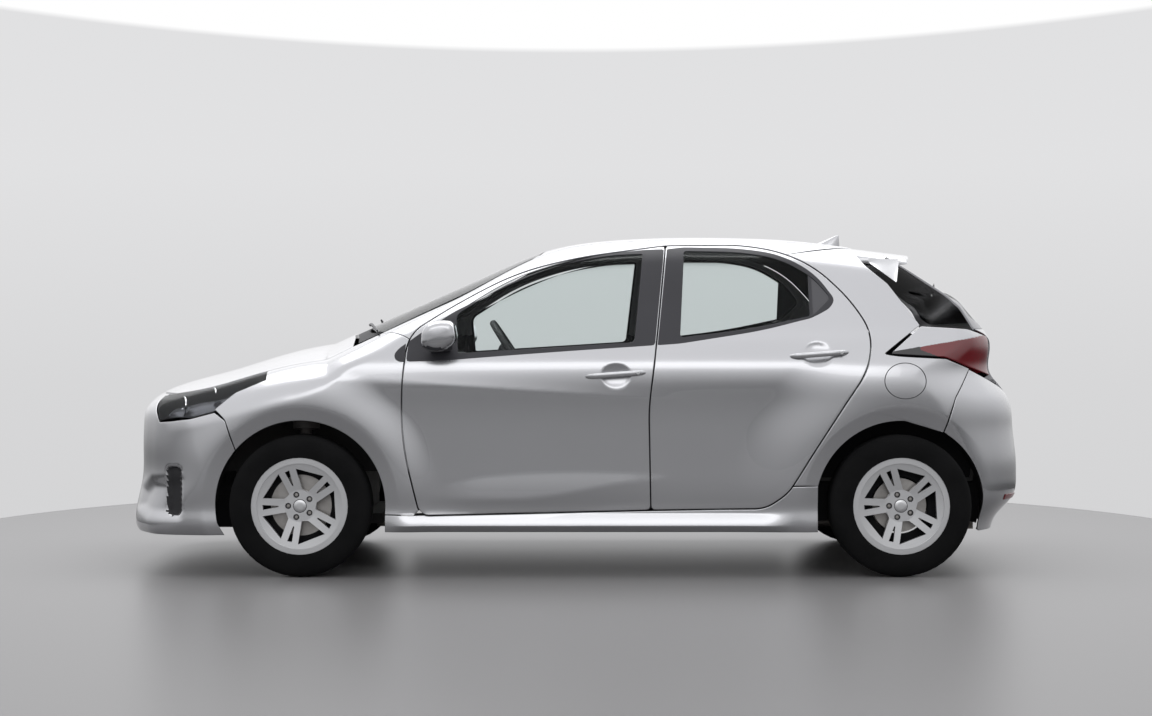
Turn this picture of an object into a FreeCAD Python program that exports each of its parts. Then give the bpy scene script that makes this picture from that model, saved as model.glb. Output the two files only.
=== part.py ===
import FreeCAD, Part
import Sketcher
import math
import os

# A five-door hatchback at its real size, in millimetres.
# X runs from the nose to the tail, Y to the car's right, Z up; the origin is on the ground
# under the middle of the car. The left side of the car is its -Y side.

V = FreeCAD.Vector
doc = FreeCAD.newDocument("Hatchback")
sheet = doc.addObject("Spreadsheet::Sheet", "Sizes")

SIZES = [
    # main sizes of the body
    ("front_overhang", 794, "nose to front wheel centre"),
    ("wheelbase", 2560, "front to rear wheel centre"),
    ("rear_overhang", 586, "rear wheel centre to tail"),
    ("sill_height", 187, "ground to underside of the sill"),
    ("belt_height", 990, "ground to the foot of the side glass"),
    ("roof_height", 1473, "ground to the top of the roof"),
    ("half_width", 849, "middle plane to the fullest part of the doors"),
    ("flare_out", 24, "how far the wheel arches swell past the doors"),
    ("flare_reach", 190, "how far a front arch swelling fades out"),
    ("haunch_reach", 320, "how far a rear arch swelling fades out"),
    ("arch_ridge", 420, "radius of the ridge over each wheel"),
    ("arch_opening", 363, "radius of the open arch"),
    ("arch_lip", 12, "how far the arch lip turns in from its ridge"),
    ("hood_crown", 70, "how far the hood falls away to its sides"),
    ("screen_crown", 62, "how far the windscreen falls away to its sides"),
    ("roof_crown", 24, "how far the roof falls away to its sides"),
    ("screen_half_width", 620, "middle plane to where the screen crown is measured"),
    ("fender_round", 110, "radius of the shoulder from hood to fender"),
    ("pillar_round", 50, "radius from screen to side at the front pillars"),
    ("rail_round", 90, "radius from roof to side over the doors"),
    ("tail_round", 60, "radius from the top to the tail face"),
    ("nose_round", 70, "radius from the hood to the nose face"),
    # panels
    ("shut_gap", 5, "gap round each door, the hood and the tailgate"),
    ("seam", 0.3, "gap between pieces that are fastened together"),
    ("fender_skin", 6, "thickness of the front fenders"),
    ("bumper_skin", 6, "thickness of both bumper covers"),
    ("hood_depth", 22, "thickness of the hood with its frame"),
    ("roof_depth", 30, "thickness of the roof with its lining"),
    ("side_depth", 150, "thickness of the body side with its lining"),
    ("flange_depth", 22, "thickness of a door at its outer edge"),
    ("frame_depth", 45, "thickness of a door round its window"),
    ("door_depth", 110, "thickness of a door below its window"),
    ("door_step", 30, "width of the thin edge round a door"),
    ("jamb_step", 52, "width of the body flange behind a door edge"),
    ("door_swing_gap", 14, "gap beside the thick part of a door"),
    ("handle_rise", 24, "how far a door handle stands out"),
    ("handle_root", 4, "how far a door handle's ends run into the door"),
    ("cup_depth", 14, "depth of the finger cup behind a door handle"),
    ("cup_half_width", 62, "half the width of a finger cup"),
    ("cup_half_height", 48, "half the height of a finger cup"),
    ("glass_depth", 5, "thickness of every pane"),
    ("glass_edge", 8, "how far the door glass runs into its frame"),
    ("tailgate_depth", 60, "thickness of the tailgate"),
    ("spoiler_drop", 20, "how far the spoiler's ends fall below its middle"),
    ("lamp_depth", 70, "depth of the headlamps and tail lamps"),
    ("slat_pitch", 42, "spacing of the slots in the bumper grilles"),
    ("slat_depth", 14, "height of the bar between two grille slots"),
    ("fin_width", 34, "width of the roof fin at its foot"),
    ("overrun", 20, "how far cutting shapes run past what they cut"),
    ("patch_pitch", 45, "spacing of the points that a body surface is drawn through"),
    # roof line cuts
    ("ditch_half_width", 516, "middle plane to the seam between roof and side"),
    ("cabin_roof_half", 500, "half width of the cabin under the roof"),
    # wheels
    ("tyre_radius", 302, "wheel centre to the ground"),
    ("tyre_width", 185, "widest part of the tyre"),
    ("tread_width", 150, "flat of the tread"),
    ("rim_radius", 208, "outside of the rim flange"),
    ("bead_radius", 190, "rim radius where the tyre sits"),
    ("rim_width", 168, "width over both rim flanges"),
    ("rim_wall", 8, "thickness of the rim barrel"),
    ("spoke_depth", 24, "thickness of the wheel face"),
    ("spoke_rise", 12, "how far the hub stands behind the outer ends of the spokes"),
    ("bolt_circle", 100, "circle of the wheel bolts"),
    ("bolt_recess", 13, "radius of each bolt recess"),
    ("hub_cap_radius", 27, "radius of the centre cap"),
    ("disc_radius", 130, "radius of a front brake disc"),
    ("disc_depth", 22, "thickness of a front brake disc"),
    ("drum_radius", 115, "radius of a rear brake drum"),
    ("drum_depth", 55, "depth of a rear brake drum"),
    ("hub_radius", 68, "radius of the hub behind the wheel face"),
    ("track_half", 765, "middle plane to the middle of each tyre"),
    # steering and suspension
    ("ball_joint_side", 705, "middle plane to the lower ball joint"),
    ("ball_joint_height", 190, "ground to the lower ball joint"),
    ("strut_top_side", 590, "middle plane to the strut's top mount"),
    ("strut_top_height", 800, "ground to the strut's top mount"),
    ("strut_foot_side", 640, "middle plane to the foot of the strut"),
    ("strut_foot_height", 330, "ground to the foot of the strut"),
    ("strut_radius", 25, "radius of the strut tube"),
    ("spring_radius", 58, "outer radius of the front springs"),
    ("spring_foot_height", 622, "ground to the lower spring plate"),
    ("axle_gap", 1, "running gap at the wheel hubs"),
    # steering wheel
    ("wheel_grip_radius", 172, "radius of the middle of the steering wheel rim"),
    ("grip_radius", 14, "radius of the steering wheel's grip"),
    ("steer_boss_radius", 62, "radius of the steering wheel's pad"),
    ("steer_boss_depth", 45, "depth of the steering wheel's pad"),
    ("steer_side", 370, "middle plane to the steering column"),
    ("steer_x", -277, "where the steering wheel's centre is, along the car"),
    ("steer_height", 940, "ground to the steering wheel's centre"),
    ("column_radius", 20, "radius of the steering column"),
    # floor and running gear
    ("floor_depth", 14, "thickness of the floor"),
    ("floor_height", 270, "ground to the underside of the floor"),
    ("floor_half_width", 676, "middle plane to the edge of the floor and of the cabin"),
]

for row, (alias, value, words) in enumerate(SIZES, 1):
    sheet.set(f"A{row}", alias)
    sheet.set(f"B{row}", str(value))
    sheet.set(f"C{row}", words)
    sheet.setAlias(f"B{row}", alias)
doc.recompute()


class Size(float):
    """A number that remembers the sheet formula behind it, so that a feature can be bound to it."""

    def __new__(cls, value, text):
        new = super().__new__(cls, value)
        new.text = text
        return new

    def __add__(self, other):
        return Size(float(self) + float(other), f"({self.text} + {text_of(other)})")

    def __radd__(self, other):
        return Size(float(other) + float(self), f"({text_of(other)} + {self.text})")

    def __sub__(self, other):
        return Size(float(self) - float(other), f"({self.text} - {text_of(other)})")

    def __rsub__(self, other):
        return Size(float(other) - float(self), f"({text_of(other)} - {self.text})")

    def __mul__(self, other):
        return Size(float(self) * float(other), f"({self.text} * {text_of(other)})")

    def __rmul__(self, other):
        return Size(float(other) * float(self), f"({text_of(other)} * {self.text})")

    def __truediv__(self, other):
        return Size(float(self) / float(other), f"({self.text} / {text_of(other)})")

    def __neg__(self):
        return Size(-float(self), f"(-{self.text})")


def text_of(number):
    """The sheet formula of a size, or the plain number."""
    return number.text if isinstance(number, Size) else f"{float(number):.9g}"


class Named:
    """The sheet's sizes, by their names."""

    def __getattr__(self, name):
        return Size(float(sheet.get(name)), f"Sizes.{name}")


class Kept:
    """The same sizes as plain floats, read once, for the surface functions."""


d = Named()
k = Kept()
for alias, value, words in SIZES:
    setattr(k, alias, float(sheet.get(alias)))

# Places along the car are stations: 0 nose, 1 front wheel, 2 rear wheel, 3 tail.
# Heights are levels: 0 ground, 1 sill, 2 foot of the side glass, 3 roof.
X_NOSE = -(d.front_overhang + d.wheelbase + d.rear_overhang) / 2
X_FRONT = X_NOSE + d.front_overhang
X_REAR = X_FRONT + d.wheelbase
X_TAIL = X_REAR + d.rear_overhang
STATIONS = [float(X_NOSE), float(X_FRONT), float(X_REAR), float(X_TAIL)]
LEVELS = [0.0, k.sill_height, k.belt_height, k.roof_height]


def along(marks, share):
    """The length at a share that counts 1 from each mark to the next, straight on past the ends."""
    first = min(max(int(math.floor(share)), 0), len(marks) - 2)
    return marks[first] + (marks[first + 1] - marks[first]) * (share - first)


def x_at(station):
    return along(STATIONS, station)


def z_at(level):
    return along(LEVELS, level)


# Curves and surfaces of the outer form

def smooth(points):
    """A function through (place, value) points: a natural cubic, straight past its ends."""
    xs = [p[0] for p in points]
    ys = [p[1] for p in points]
    n = len(xs)
    bend = [0.0] * n
    work = [0.0] * n
    for i in range(1, n - 1):
        part = (xs[i] - xs[i - 1]) / (xs[i + 1] - xs[i - 1])
        base = part * bend[i - 1] + 2
        bend[i] = (part - 1) / base
        jump = (ys[i + 1] - ys[i]) / (xs[i + 1] - xs[i]) - (ys[i] - ys[i - 1]) / (xs[i] - xs[i - 1])
        work[i] = (6 * jump / (xs[i + 1] - xs[i - 1]) - part * work[i - 1]) / base
    bend[n - 1] = 0.0
    for i in range(n - 2, -1, -1):
        bend[i] = bend[i] * bend[i + 1] + work[i]
    bend[0] = 0.0
    w0 = xs[1] - xs[0]
    w1 = xs[-1] - xs[-2]
    slope0 = (ys[1] - ys[0]) / w0 - w0 * bend[1] / 6
    slope1 = (ys[-1] - ys[-2]) / w1 + w1 * bend[-2] / 6

    def value(x):
        if x <= xs[0]:
            return ys[0] + slope0 * (x - xs[0])
        if x >= xs[-1]:
            return ys[-1] + slope1 * (x - xs[-1])
        i = 0
        while x > xs[i + 1]:
            i += 1
        w = xs[i + 1] - xs[i]
        a = (xs[i + 1] - x) / w
        b = 1 - a
        return (a * ys[i] + b * ys[i + 1]
                + ((a ** 3 - a) * bend[i] + (b ** 3 - b) * bend[i + 1]) * w * w / 6)

    return value


def fade(share):
    """Falls smoothly from 1 at share 0 to 0 at share 1."""
    t = min(max(share, 0.0), 1.0)
    return 1 - t * t * (3 - 2 * t)


def round_max(first, second, radius):
    """The larger of two distances, with the corner between them rounded."""
    a = first + radius
    b = second + radius
    if a > 0 and b > 0:
        return math.hypot(a, b) - radius
    return max(first, second)


# half width by level, as a share of half_width
SECTION_SHARES = [(0.94, .958), (1.04, .971), (1.12, .969), (1.18, .973), (1.33, .981),
                  (1.51, .987), (1.70, .995), (1.84, 1.0), (1.91, .989), (2.0, .950),
                  (2.12, .922), (2.43, .842), (2.83, .724), (2.95, .677)]
# half width along the car, as a share of its fullest
PLAN_SHARES = [(0.0, .960), (0.5, .975), (1.0, .985), (1.2, .995), (1.5, 1.0), (1.8, .998),
               (2.1, .985), (2.5, .960), (3.0, .925)]
# where the nose is on the middle plane, by level, as a share of front_overhang from the nose
NOSE_SHARES = [(0.80, .057), (1.00, .010), (1.05, .0), (1.14, .013), (1.27, .040), (1.43, .044),
               (1.58, .048), (1.64, .057), (1.70, .088), (1.75, .138), (1.80, .23)]
# how far the nose falls back by share of half_width, as a share of front_overhang
NOSE_PLAN_SHARES = [(0.0, .0), (.35, .004), (.59, .033), (.71, .070), (.82, .134), (.94, .270),
                    (1.0, .440), (1.06, .70)]
# where the tail is on the middle plane, by level, as a share of rear_overhang from the tail
TAIL_SHARES = [(0.9, .20), (1.07, .154), (1.16, .043), (1.28, .005), (1.38, .008), (1.56, .034),
               (1.72, .077), (1.80, .160), (1.85, .205), (1.92, .212), (2.08, .222), (2.15, .265)]
# how far the tail falls back by share of half_width, as a share of rear_overhang
TAIL_PLAN_SHARES = [(0.0, .0), (.35, .009), (.59, .043), (.71, .087), (.82, .180), (.94, .400),
                    (1.0, .640), (1.06, 1.0)]
# height of the hood and of the roof line on the middle plane: station, level
HOOD_SHARES = [(0.05, 1.700), (0.09, 1.722), (0.30, 1.800), (0.53, 1.861), (0.73, 1.922),
               (0.96, 1.981), (1.03, 2.006), (1.07, 2.033), (1.20, 2.10)]
ROOF_SHARES = [(1.03, 2.010), (1.069, 2.1035), (1.217, 2.4555), (1.294, 2.635), (1.37, 2.812),
               (1.41, 2.884), (1.459, 2.938), (1.512, 2.970), (1.637, 3.0), (1.742, 2.996),
               (1.846, 2.967), (1.932, 2.911), (2.00, 2.866), (2.229, 2.832)]
# the rear glass on the middle plane: station, level
REAR_GLASS_SHARES = [(2.138, 2.702), (2.635, 2.306)]


def placed(shares):
    """A table of stations and levels as lengths."""
    return [(x_at(s), z_at(l)) for s, l in shares]


section = smooth([(z_at(l), k.half_width * w) for l, w in SECTION_SHARES])
plan = smooth([(x_at(s), w) for s, w in PLAN_SHARES])
nose = smooth([(z_at(l), STATIONS[0] + k.front_overhang * w) for l, w in NOSE_SHARES])
nose_plan = smooth([(k.half_width * s, k.front_overhang * w) for s, w in NOSE_PLAN_SHARES])
tail = smooth([(z_at(l), STATIONS[3] - k.rear_overhang * w) for l, w in TAIL_SHARES])
tail_plan = smooth([(k.half_width * s, k.rear_overhang * w) for s, w in TAIL_PLAN_SHARES])
hood_line = smooth(placed(HOOD_SHARES))
roof_line = smooth(placed(ROOF_SHARES))
(GLASS_X0, GLASS_Z0), (GLASS_X1, GLASS_Z1) = placed(REAR_GLASS_SHARES)
GLASS_SLOPE = (GLASS_Z1 - GLASS_Z0) / (GLASS_X1 - GLASS_X0)
NO_FLARE_SHARE = 0.35
# below this share of the sill height under the sill, the form runs straight down
FOOT_SHARE = 0.06


def flare(x, z):
    """How far an arch swells the side at this place."""
    out = 0.0
    for centre, reach in ((STATIONS[1], k.flare_reach), (STATIONS[2], k.haunch_reach)):
        r = math.hypot(x - centre, z - k.tyre_radius)
        if r >= k.arch_ridge:
            swell = k.flare_out * fade((r - k.arch_ridge) / reach)
        else:
            swell = k.flare_out - k.arch_lip * (k.arch_ridge - r) / (k.arch_ridge - k.arch_opening)
        out = max(out, swell)
    up = fade((z - k.belt_height * (1 - NO_FLARE_SHARE / 2)) / (k.belt_height * NO_FLARE_SHARE))
    return out * up


def half_width_at(x, z):
    """Half width of the body side, before its corners are rounded."""
    return section(z) * plan(x) + flare(x, z)


def crown(x, y):
    """How far the screen and roof fall away from their middle line."""
    share = fade((x - x_at(1.25)) / (x_at(1.5) - x_at(1.25)))
    depth = k.roof_crown + (k.screen_crown - k.roof_crown) * share
    return depth * (abs(y) / k.screen_half_width) ** 2.2


def top_at(x, y):
    """Height of the top of the body over a place on the ground plan."""
    bonnet = hood_line(x) - k.hood_crown * (abs(y) / (k.half_width * .81)) ** 2.2
    upper = roof_line(x) - crown(x, y)
    rear = GLASS_Z0 + GLASS_SLOPE * (x - GLASS_X0) - k.roof_crown * (abs(y) / k.screen_half_width) ** 2
    return max(bonnet, min(upper, rear)) if x > x_at(1.0) else bonnet


def shoulder_at(x, z):
    """Radius of the edge between side and top at this place."""
    low = fade((z - k.belt_height) / (k.roof_height - k.belt_height) * 6)
    front = fade((x - x_at(1.2)) / (x_at(1.45) - x_at(1.2)))
    high = k.pillar_round * front + k.rail_round * (1 - front)
    return high + (k.fender_round - high) * low * fade((x - x_at(.95)) / (x_at(1.1) - x_at(.95)))


def body_gap(x, y, z):
    """Below zero inside the closed outer form of the body, above zero outside it."""
    z_side = max(z, LEVELS[1] * (1 - FOOT_SHARE))
    side = abs(y) - half_width_at(x, z_side)
    top = (z - top_at(x, y)) * .9
    gap = round_max(side, top, shoulder_at(x, z))
    if x < STATIONS[1] * .5:
        front = nose(z_side) + nose_plan(abs(y)) - x
        gap = round_max(gap, front, k.nose_round * .5)
    if x > STATIONS[2] * .5:
        back = x - tail(z_side) + tail_plan(abs(y))
        gap = round_max(gap, back, k.tail_round * .5)
    return gap


def cast(start, way, reach):
    """The point where a ray from outside first meets the outer form."""
    low, high = 0.0, reach
    step = reach / 24
    t = 0.0
    while t < reach and body_gap(start.x + way.x * t, start.y + way.y * t, start.z + way.z * t) > 0:
        low = t
        t += step
    high = min(t, reach)
    for _ in range(18):
        mid = (low + high) / 2
        if body_gap(start.x + way.x * mid, start.y + way.y * mid, start.z + way.z * mid) > 0:
            low = mid
        else:
            high = mid
    return start + way * ((low + high) / 2)


def patch(corner, first, second, way, reach, pitch=0.0):
    """A body surface as one face, drawn through a grid of rays.

    The rays start on the parallelogram at corner with sides first and second, and run along way.
    They are the usual distance apart unless pitch says otherwise."""
    pitch = pitch or k.patch_pitch
    rows = max(int(first.Length / pitch), 6)
    columns = max(int(second.Length / pitch), 6)
    ray = V(way).normalize()
    grid = [[cast(corner + first * (i / rows) + second * (j / columns), ray, reach)
             for j in range(columns + 1)] for i in range(rows + 1)]
    surface = Part.BSplineSurface()
    surface.interpolate(grid)
    return surface.toShape()


def fan_patch(centre_x, low, high, first, last, depth, tilt=0.0):
    """A body surface round the nose or tail as one face, drawn through rays that fan out in plan.

    The rays meet the upright line at centre_x between heights low and high, at plan angles from
    first to last, with the left side of the car at positive angles; each drops by tilt for each
    unit along. depth is how far inside the outer form the face lies."""
    rows = max(int((high - low) / k.patch_pitch), 6)
    columns = max(int((last - first) * k.front_overhang / k.patch_pitch), 12)
    end = 1 if centre_x > 0 else -1
    far = k.wheelbase * .6
    grid = []
    for i in range(rows + 1):
        z = low + (high - low) * i / rows
        line = []
        for j in range(columns + 1):
            angle = first + (last - first) * j / columns
            way = V(-end * math.cos(angle), math.sin(angle), -tilt).normalize()
            start = V(centre_x, 0, z) - way * far
            line.append(cast(start, way, far) + way * depth)
        grid.append(line)
    surface = Part.BSplineSurface()
    surface.interpolate(grid)
    return surface.toShape()


def fan_skin(centre_x, low, high, first, last, start, depth, tilt=0.0):
    """A closed skin round the nose or tail between two depths under the surface."""
    outer = fan_patch(centre_x, low, high, first, last, start, tilt)
    inner = fan_patch(centre_x, low, high, first, last, start + depth, tilt)
    return closed_between(outer, inner)


def closed_between(outer, inner):
    """The solid between two four-sided faces whose edges run the same way."""
    faces = [outer, inner]
    for one, other in zip(outer.OuterWire.OrderedEdges, matching_edges(outer, inner)):
        faces.append(Part.makeRuledSurface(one, other))
    shell = Part.makeShell(faces)
    shell.sewShape()
    solid = Part.makeSolid(shell)
    if solid.Volume < 0:
        solid.reverse()
    return solid


def matching_edges(outer, inner):
    """The inner face's edges, each beside the outer face's edge in order."""
    found = []
    rest = list(inner.Edges)
    for edge in outer.OuterWire.OrderedEdges:
        middle = edge.valueAt((edge.FirstParameter + edge.LastParameter) / 2)
        rest.sort(key=lambda e: middle.distanceToPoint(
            e.valueAt((e.FirstParameter + e.LastParameter) / 2)))
        found.append(rest.pop(0))
    return found


# Outlines: corners with a share of the largest round that fits them

def rounded_outline(corners, grow=0.0):
    """A closed list of edges in a plane, from (a, b, round share) corners, grown outwards by grow.

    Returns edges as ("line", p, q) and ("arc", p, middle, q) in (a, b) pairs."""
    turn = sum(corners[i - 1][0] * corners[i][1] - corners[i][0] * corners[i - 1][1]
               for i in range(len(corners)))
    points = list(corners) if turn > 0 else list(reversed(corners))
    n = len(points)
    rounds = []
    for i in range(n):
        rounds.append(largest_round(points[i - 1], points[i], points[(i + 1) % n]) * points[i][2])
    lines = []
    for i in range(n):
        ax, az = points[i][:2]
        bx, bz = points[(i + 1) % n][:2]
        length = math.hypot(bx - ax, bz - az)
        nx, nz = (bz - az) / length, -(bx - ax) / length
        lines.append((ax + nx * grow, az + nz * grow, (bx - ax) / length, (bz - az) / length))
    moved = []
    for i in range(n):
        ax, az, ux, uz = lines[i - 1]
        bx, bz, vx, vz = lines[i]
        cross = ux * vz - uz * vx
        if abs(cross) < 1e-9:
            moved.append((bx, bz))
            continue
        t = ((bx - ax) * vz - (bz - az) * vx) / cross
        moved.append((ax + ux * t, az + uz * t))
    edges = []
    ends = []
    for i in range(n):
        before, here, after = moved[i - 1], moved[i], moved[(i + 1) % n]
        ux, uz = lines[i - 1][2:]
        vx, vz = lines[i][2:]
        cross = ux * vz - uz * vx
        radius = rounds[i] + (grow if cross > 0 else -grow)
        angle = abs(math.atan2(cross, ux * vx + uz * vz))
        cut = max(radius, 0.0) * math.tan(angle / 2)
        room = .499 * min(math.dist(before, here), math.dist(here, after))
        cut = min(cut, room)
        if cut < 1e-6 * k.half_width or angle < 1e-4:
            ends.append((here, here, None))
            continue
        start = (here[0] - ux * cut, here[1] - uz * cut)
        finish = (here[0] + vx * cut, here[1] + vz * cut)
        radius = cut / math.tan(angle / 2)
        sign = 1 if cross > 0 else -1
        cx = start[0] - uz * radius * sign
        cz = start[1] + ux * radius * sign
        mx, mz = (start[0] + finish[0]) / 2 - cx, (start[1] + finish[1]) / 2 - cz
        length = math.hypot(mx, mz)
        ends.append((start, finish, (cx + mx / length * radius, cz + mz / length * radius)))
    for i in range(n):
        start, finish, middle = ends[i]
        if middle:
            edges.append(("arc", start, middle, finish))
        following = ends[(i + 1) % n][0]
        if math.dist(finish, following) > 1e-6 * k.half_width:
            edges.append(("line", finish, following))
    return edges


def largest_round(before, here, after):
    """The largest radius that fits a corner within half of each of its sides."""
    ux, uz = here[0] - before[0], here[1] - before[1]
    vx, vz = after[0] - here[0], after[1] - here[1]
    angle = abs(math.atan2(ux * vz - uz * vx, ux * vx + uz * vz))
    if angle < 1e-4:
        return 0.0
    return .499 * min(math.hypot(ux, uz), math.hypot(vx, vz)) / math.tan(angle / 2)


def prism(edges, plane, low, high, holes=()):
    """The solid over an outline: plane "xz" runs along y, "xy" along z and "yz" along x."""
    def point(pair):
        a, b = pair
        return {"xz": V(a, low, b), "xy": V(a, b, low), "yz": V(low, a, b)}[plane]

    wires = []
    for loop in [edges, *holes]:
        parts = []
        for edge in loop:
            if edge[0] == "line":
                parts.append(Part.LineSegment(point(edge[1]), point(edge[2])).toShape())
            else:
                parts.append(Part.Arc(point(edge[1]), point(edge[2]), point(edge[3])).toShape())
        wires.append(Part.Wire(parts))
    run = {"xz": V(0, high - low, 0), "xy": V(0, 0, high - low), "yz": V(high - low, 0, 0)}[plane]
    face = Part.Face(wires[0])
    if len(wires) > 1:
        face = face.cut([Part.Face(w) for w in wires[1:]])
    return face.extrude(run)


def side_outline(shares, grow=0.0):
    """A side view outline from (station, level, round share) corners."""
    return rounded_outline([(x_at(s), z_at(l), r) for s, l, r in shares], grow)


SIDE_REACH_SHARE = 1.2
SIDE_INNER_SHARE = .2


def side_prism(shares, grow=0.0, low=None, high=None, holes=()):
    """A cut through the left side of the car over a side view outline."""
    low = -k.half_width * SIDE_REACH_SHARE if low is None else low
    high = -k.half_width * SIDE_INNER_SHARE if high is None else high
    return prism(side_outline(shares, grow), "xz", low, high, holes)


def both_sides_prism(shares, grow=0.0):
    return side_prism(shares, grow, -k.half_width * SIDE_REACH_SHARE, k.half_width * SIDE_REACH_SHARE)


def mirrored(shape):
    return shape.mirror(V(0, 0, 0), V(0, 1, 0))


def solid_box(x0, x1, y0, y1, z0, z1):
    return Part.makeBox(x1 - x0, y1 - y0, z1 - z0, V(x0, y0, z0))


def biggest(shape):
    """The largest solid of a cut, so that slivers drop out."""
    solids = sorted(shape.Solids, key=lambda s: s.Volume)
    return solids[-1]


nodes = []


def keep(name, shape):
    """Adds a shaped piece to the document as a node."""
    feature = doc.addObject("Part::Feature", name)
    feature.Label = name
    feature.Shape = shape
    feature.Placement = FreeCAD.Placement()
    nodes.append(feature)
    return feature


# Outlines of the panels: station, level, share of the largest round

FRONT_DOOR_SHARES = [(1.5755, 1.122, .06), (1.200, 1.094, .25), (1.172, 1.46, 1), (1.169, 1.76, 1),
                     (1.180, 2.09, .6), (1.264, 2.377, 1), (1.357, 2.635, 1), (1.459, 2.776, 1),
                     (1.6052, 2.889, .04)]
REAR_DOOR_SHARES = [(1.5775, 1.122, .06), (1.6072, 2.889, .04),
                    (1.739, 2.897, .9), (1.807, 2.836, 1), (1.866, 2.683, 1), (1.921, 2.393, 1),
                    (1.954, 2.10, .9), (1.944, 1.863, 1), (1.909, 1.70, .6), (1.854, 1.43, .6),
                    (1.812, 1.215, .7), (1.775, 1.131, .8)]
FRONT_GLASS_SHARES = [(1.262, 1.952, .1), (1.258, 2.265, .3), (1.352, 2.580, 1), (1.448, 2.742, 1),
                      (1.526, 2.808, 1), (1.573, 2.816, .1), (1.557, 2.028, .1)]
REAR_GLASS_SIDE_SHARES = [(1.643, 2.843, .1), (1.738, 2.833, 1), (1.805, 2.773, 1),
                          (1.860, 2.60, .8), (1.888, 2.42, .3), (1.857, 2.256, .5),
                          (1.750, 2.135, 1), (1.633, 2.068, .1)]
SIDE_FRAME_SHARES = [(1.125, .90, 0), (1.125, 1.985, 0), (1.375, 2.80, .6), (1.47, 2.94, .6),
                     (1.637, 3.1, 0), (1.932, 3.1, 0), (1.952, 2.70, 0), (1.986, 2.545, 0),
                     (2.160, 2.170, 0), (1.976, 1.952, 0), (2.00, 1.938, 0), (2.34, 1.926, 0),
                     (2.525, 1.872, 0), (2.402, 1.720, .5), (2.329, 1.571, 0), (2.2, 1.4, 0),
                     (2.0, .90, 0)]
FENDER_SHARES = [(0.66, 1.553, 0), (0.538, 1.655, .2), (0.650, 1.745, .3), (0.82, 1.816, 0),
                 (0.76, 1.90, 0), (1.0, 2.1, 0), (1.14, 2.1, 0), (1.163, 1.955, .1),
                 (1.1675, 1.76, 1), (1.170, 1.46, 1), (1.197, 1.094, .1), (1.197, 1.092, 0),
                 (1.0, 1.092, 0)]


# The body sides: one patch, drawn through rays at 45 degrees from above and outside

def side_patch(x0, x1, z0, y1, z1, pitch=0.0):
    """The left body surface from height z0 at the foot of the side to the place y1, z1 on top."""
    drop = k.roof_height
    low = z0 - k.half_width
    high = z1 - y1
    return patch(V(x0, -drop, low + drop), V(x1 - x0, 0, 0), V(0, 0, high - low), V(0, 1, -1),
                 drop * 1.5, pitch)


def slab(face, run, start, finish):
    """The solid from start to finish below a surface, measured along run."""
    moved = face.copy()
    moved.translate(run * start)
    return moved.extrude(run * (finish - start))



def plan_outline(half_shares, grow=0.0):
    """A ground plan outline, the same on both sides, from (station, share of half width, round)."""
    right = [(x_at(s), k.half_width * w, r) for s, w, r in half_shares]
    left = [(x, -y, r) for x, y, r in reversed(right) if y > 0]
    return rounded_outline(right + left, grow)


def plan_prism(half_shares, grow, low, high):
    return prism(plan_outline(half_shares, grow), "xy", low, high)


def top_patch(x0, z0, x1, z1, half, lean):
    """A body surface seen from above, from place x0, z0 to place x1, z1 on the middle plane.

    It is drawn through rays that run back by lean for each unit down."""
    way = V(lean, 0, -1)
    up = k.roof_height * 1.3
    first = x0 + lean * z0
    last = x1 + lean * z1
    start = V(first, -half, 0) - way * up
    return patch(start, V(last - first, 0, 0), V(0, 2 * half, 0), way, way.Length * up * 1.1)


# windscreen
SCREEN_SHARES = [(1.098, 0.0, 1), (1.102, .35, 1), (1.118, .66, 1), (1.134, .782, .15), (1.25, .755, 1),
                 (1.394, .640, .15), (1.404, .35, 1), (1.407, 0.0, 1)]
screen_face = top_patch(x_at(1.075), z_at(2.05), x_at(1.43), z_at(2.92), k.half_width * .86, .45)
INTO_SCREEN = V(.41, 0, -.91)
screen_outline = plan_prism(SCREEN_SHARES, 0, z_at(1.9), z_at(3.1))
windscreen = biggest(slab(screen_face, INTO_SCREEN, 0, k.glass_depth).common(screen_outline))
keep("windscreen", windscreen)
screen_slot = slab(screen_face, INTO_SCREEN, -k.overrun, k.glass_depth + k.seam).common(
    plan_prism(SCREEN_SHARES, k.seam * 4, z_at(1.9), z_at(3.1)))

# The body sides: surfaces drawn through rays at 45 degrees from above and outside

INTO_SIDE = V(0, 1, -.6)


def side_face(first, last, low=.85, high=2.97, share=.95, pitch=0.0):
    """The left body surface between two stations, from one level up to another on the roof."""
    return side_patch(x_at(first), x_at(last), z_at(low), k.ditch_half_width * share, z_at(high), pitch)


frame_face = side_face(1.10, 2.56)
front_door_face = side_face(1.14, 1.64, .95)
rear_door_face = side_face(1.55, 1.99, .95)
fender_face = side_face(1.08, 1.19)
coarse = k.patch_pitch * 2.5
front_hidden_face = side_face(1.13, 1.65, .95, pitch=coarse)
rear_hidden_face = side_face(1.54, 2.00, .95, pitch=coarse)


def hollow_in(face, shares, grow, finish, holes=()):
    """What a panel and the gap round it take out of the side frame."""
    return slab(face, INTO_SIDE, -k.overrun, finish).common(side_prism(shares, grow, holes=holes))


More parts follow.
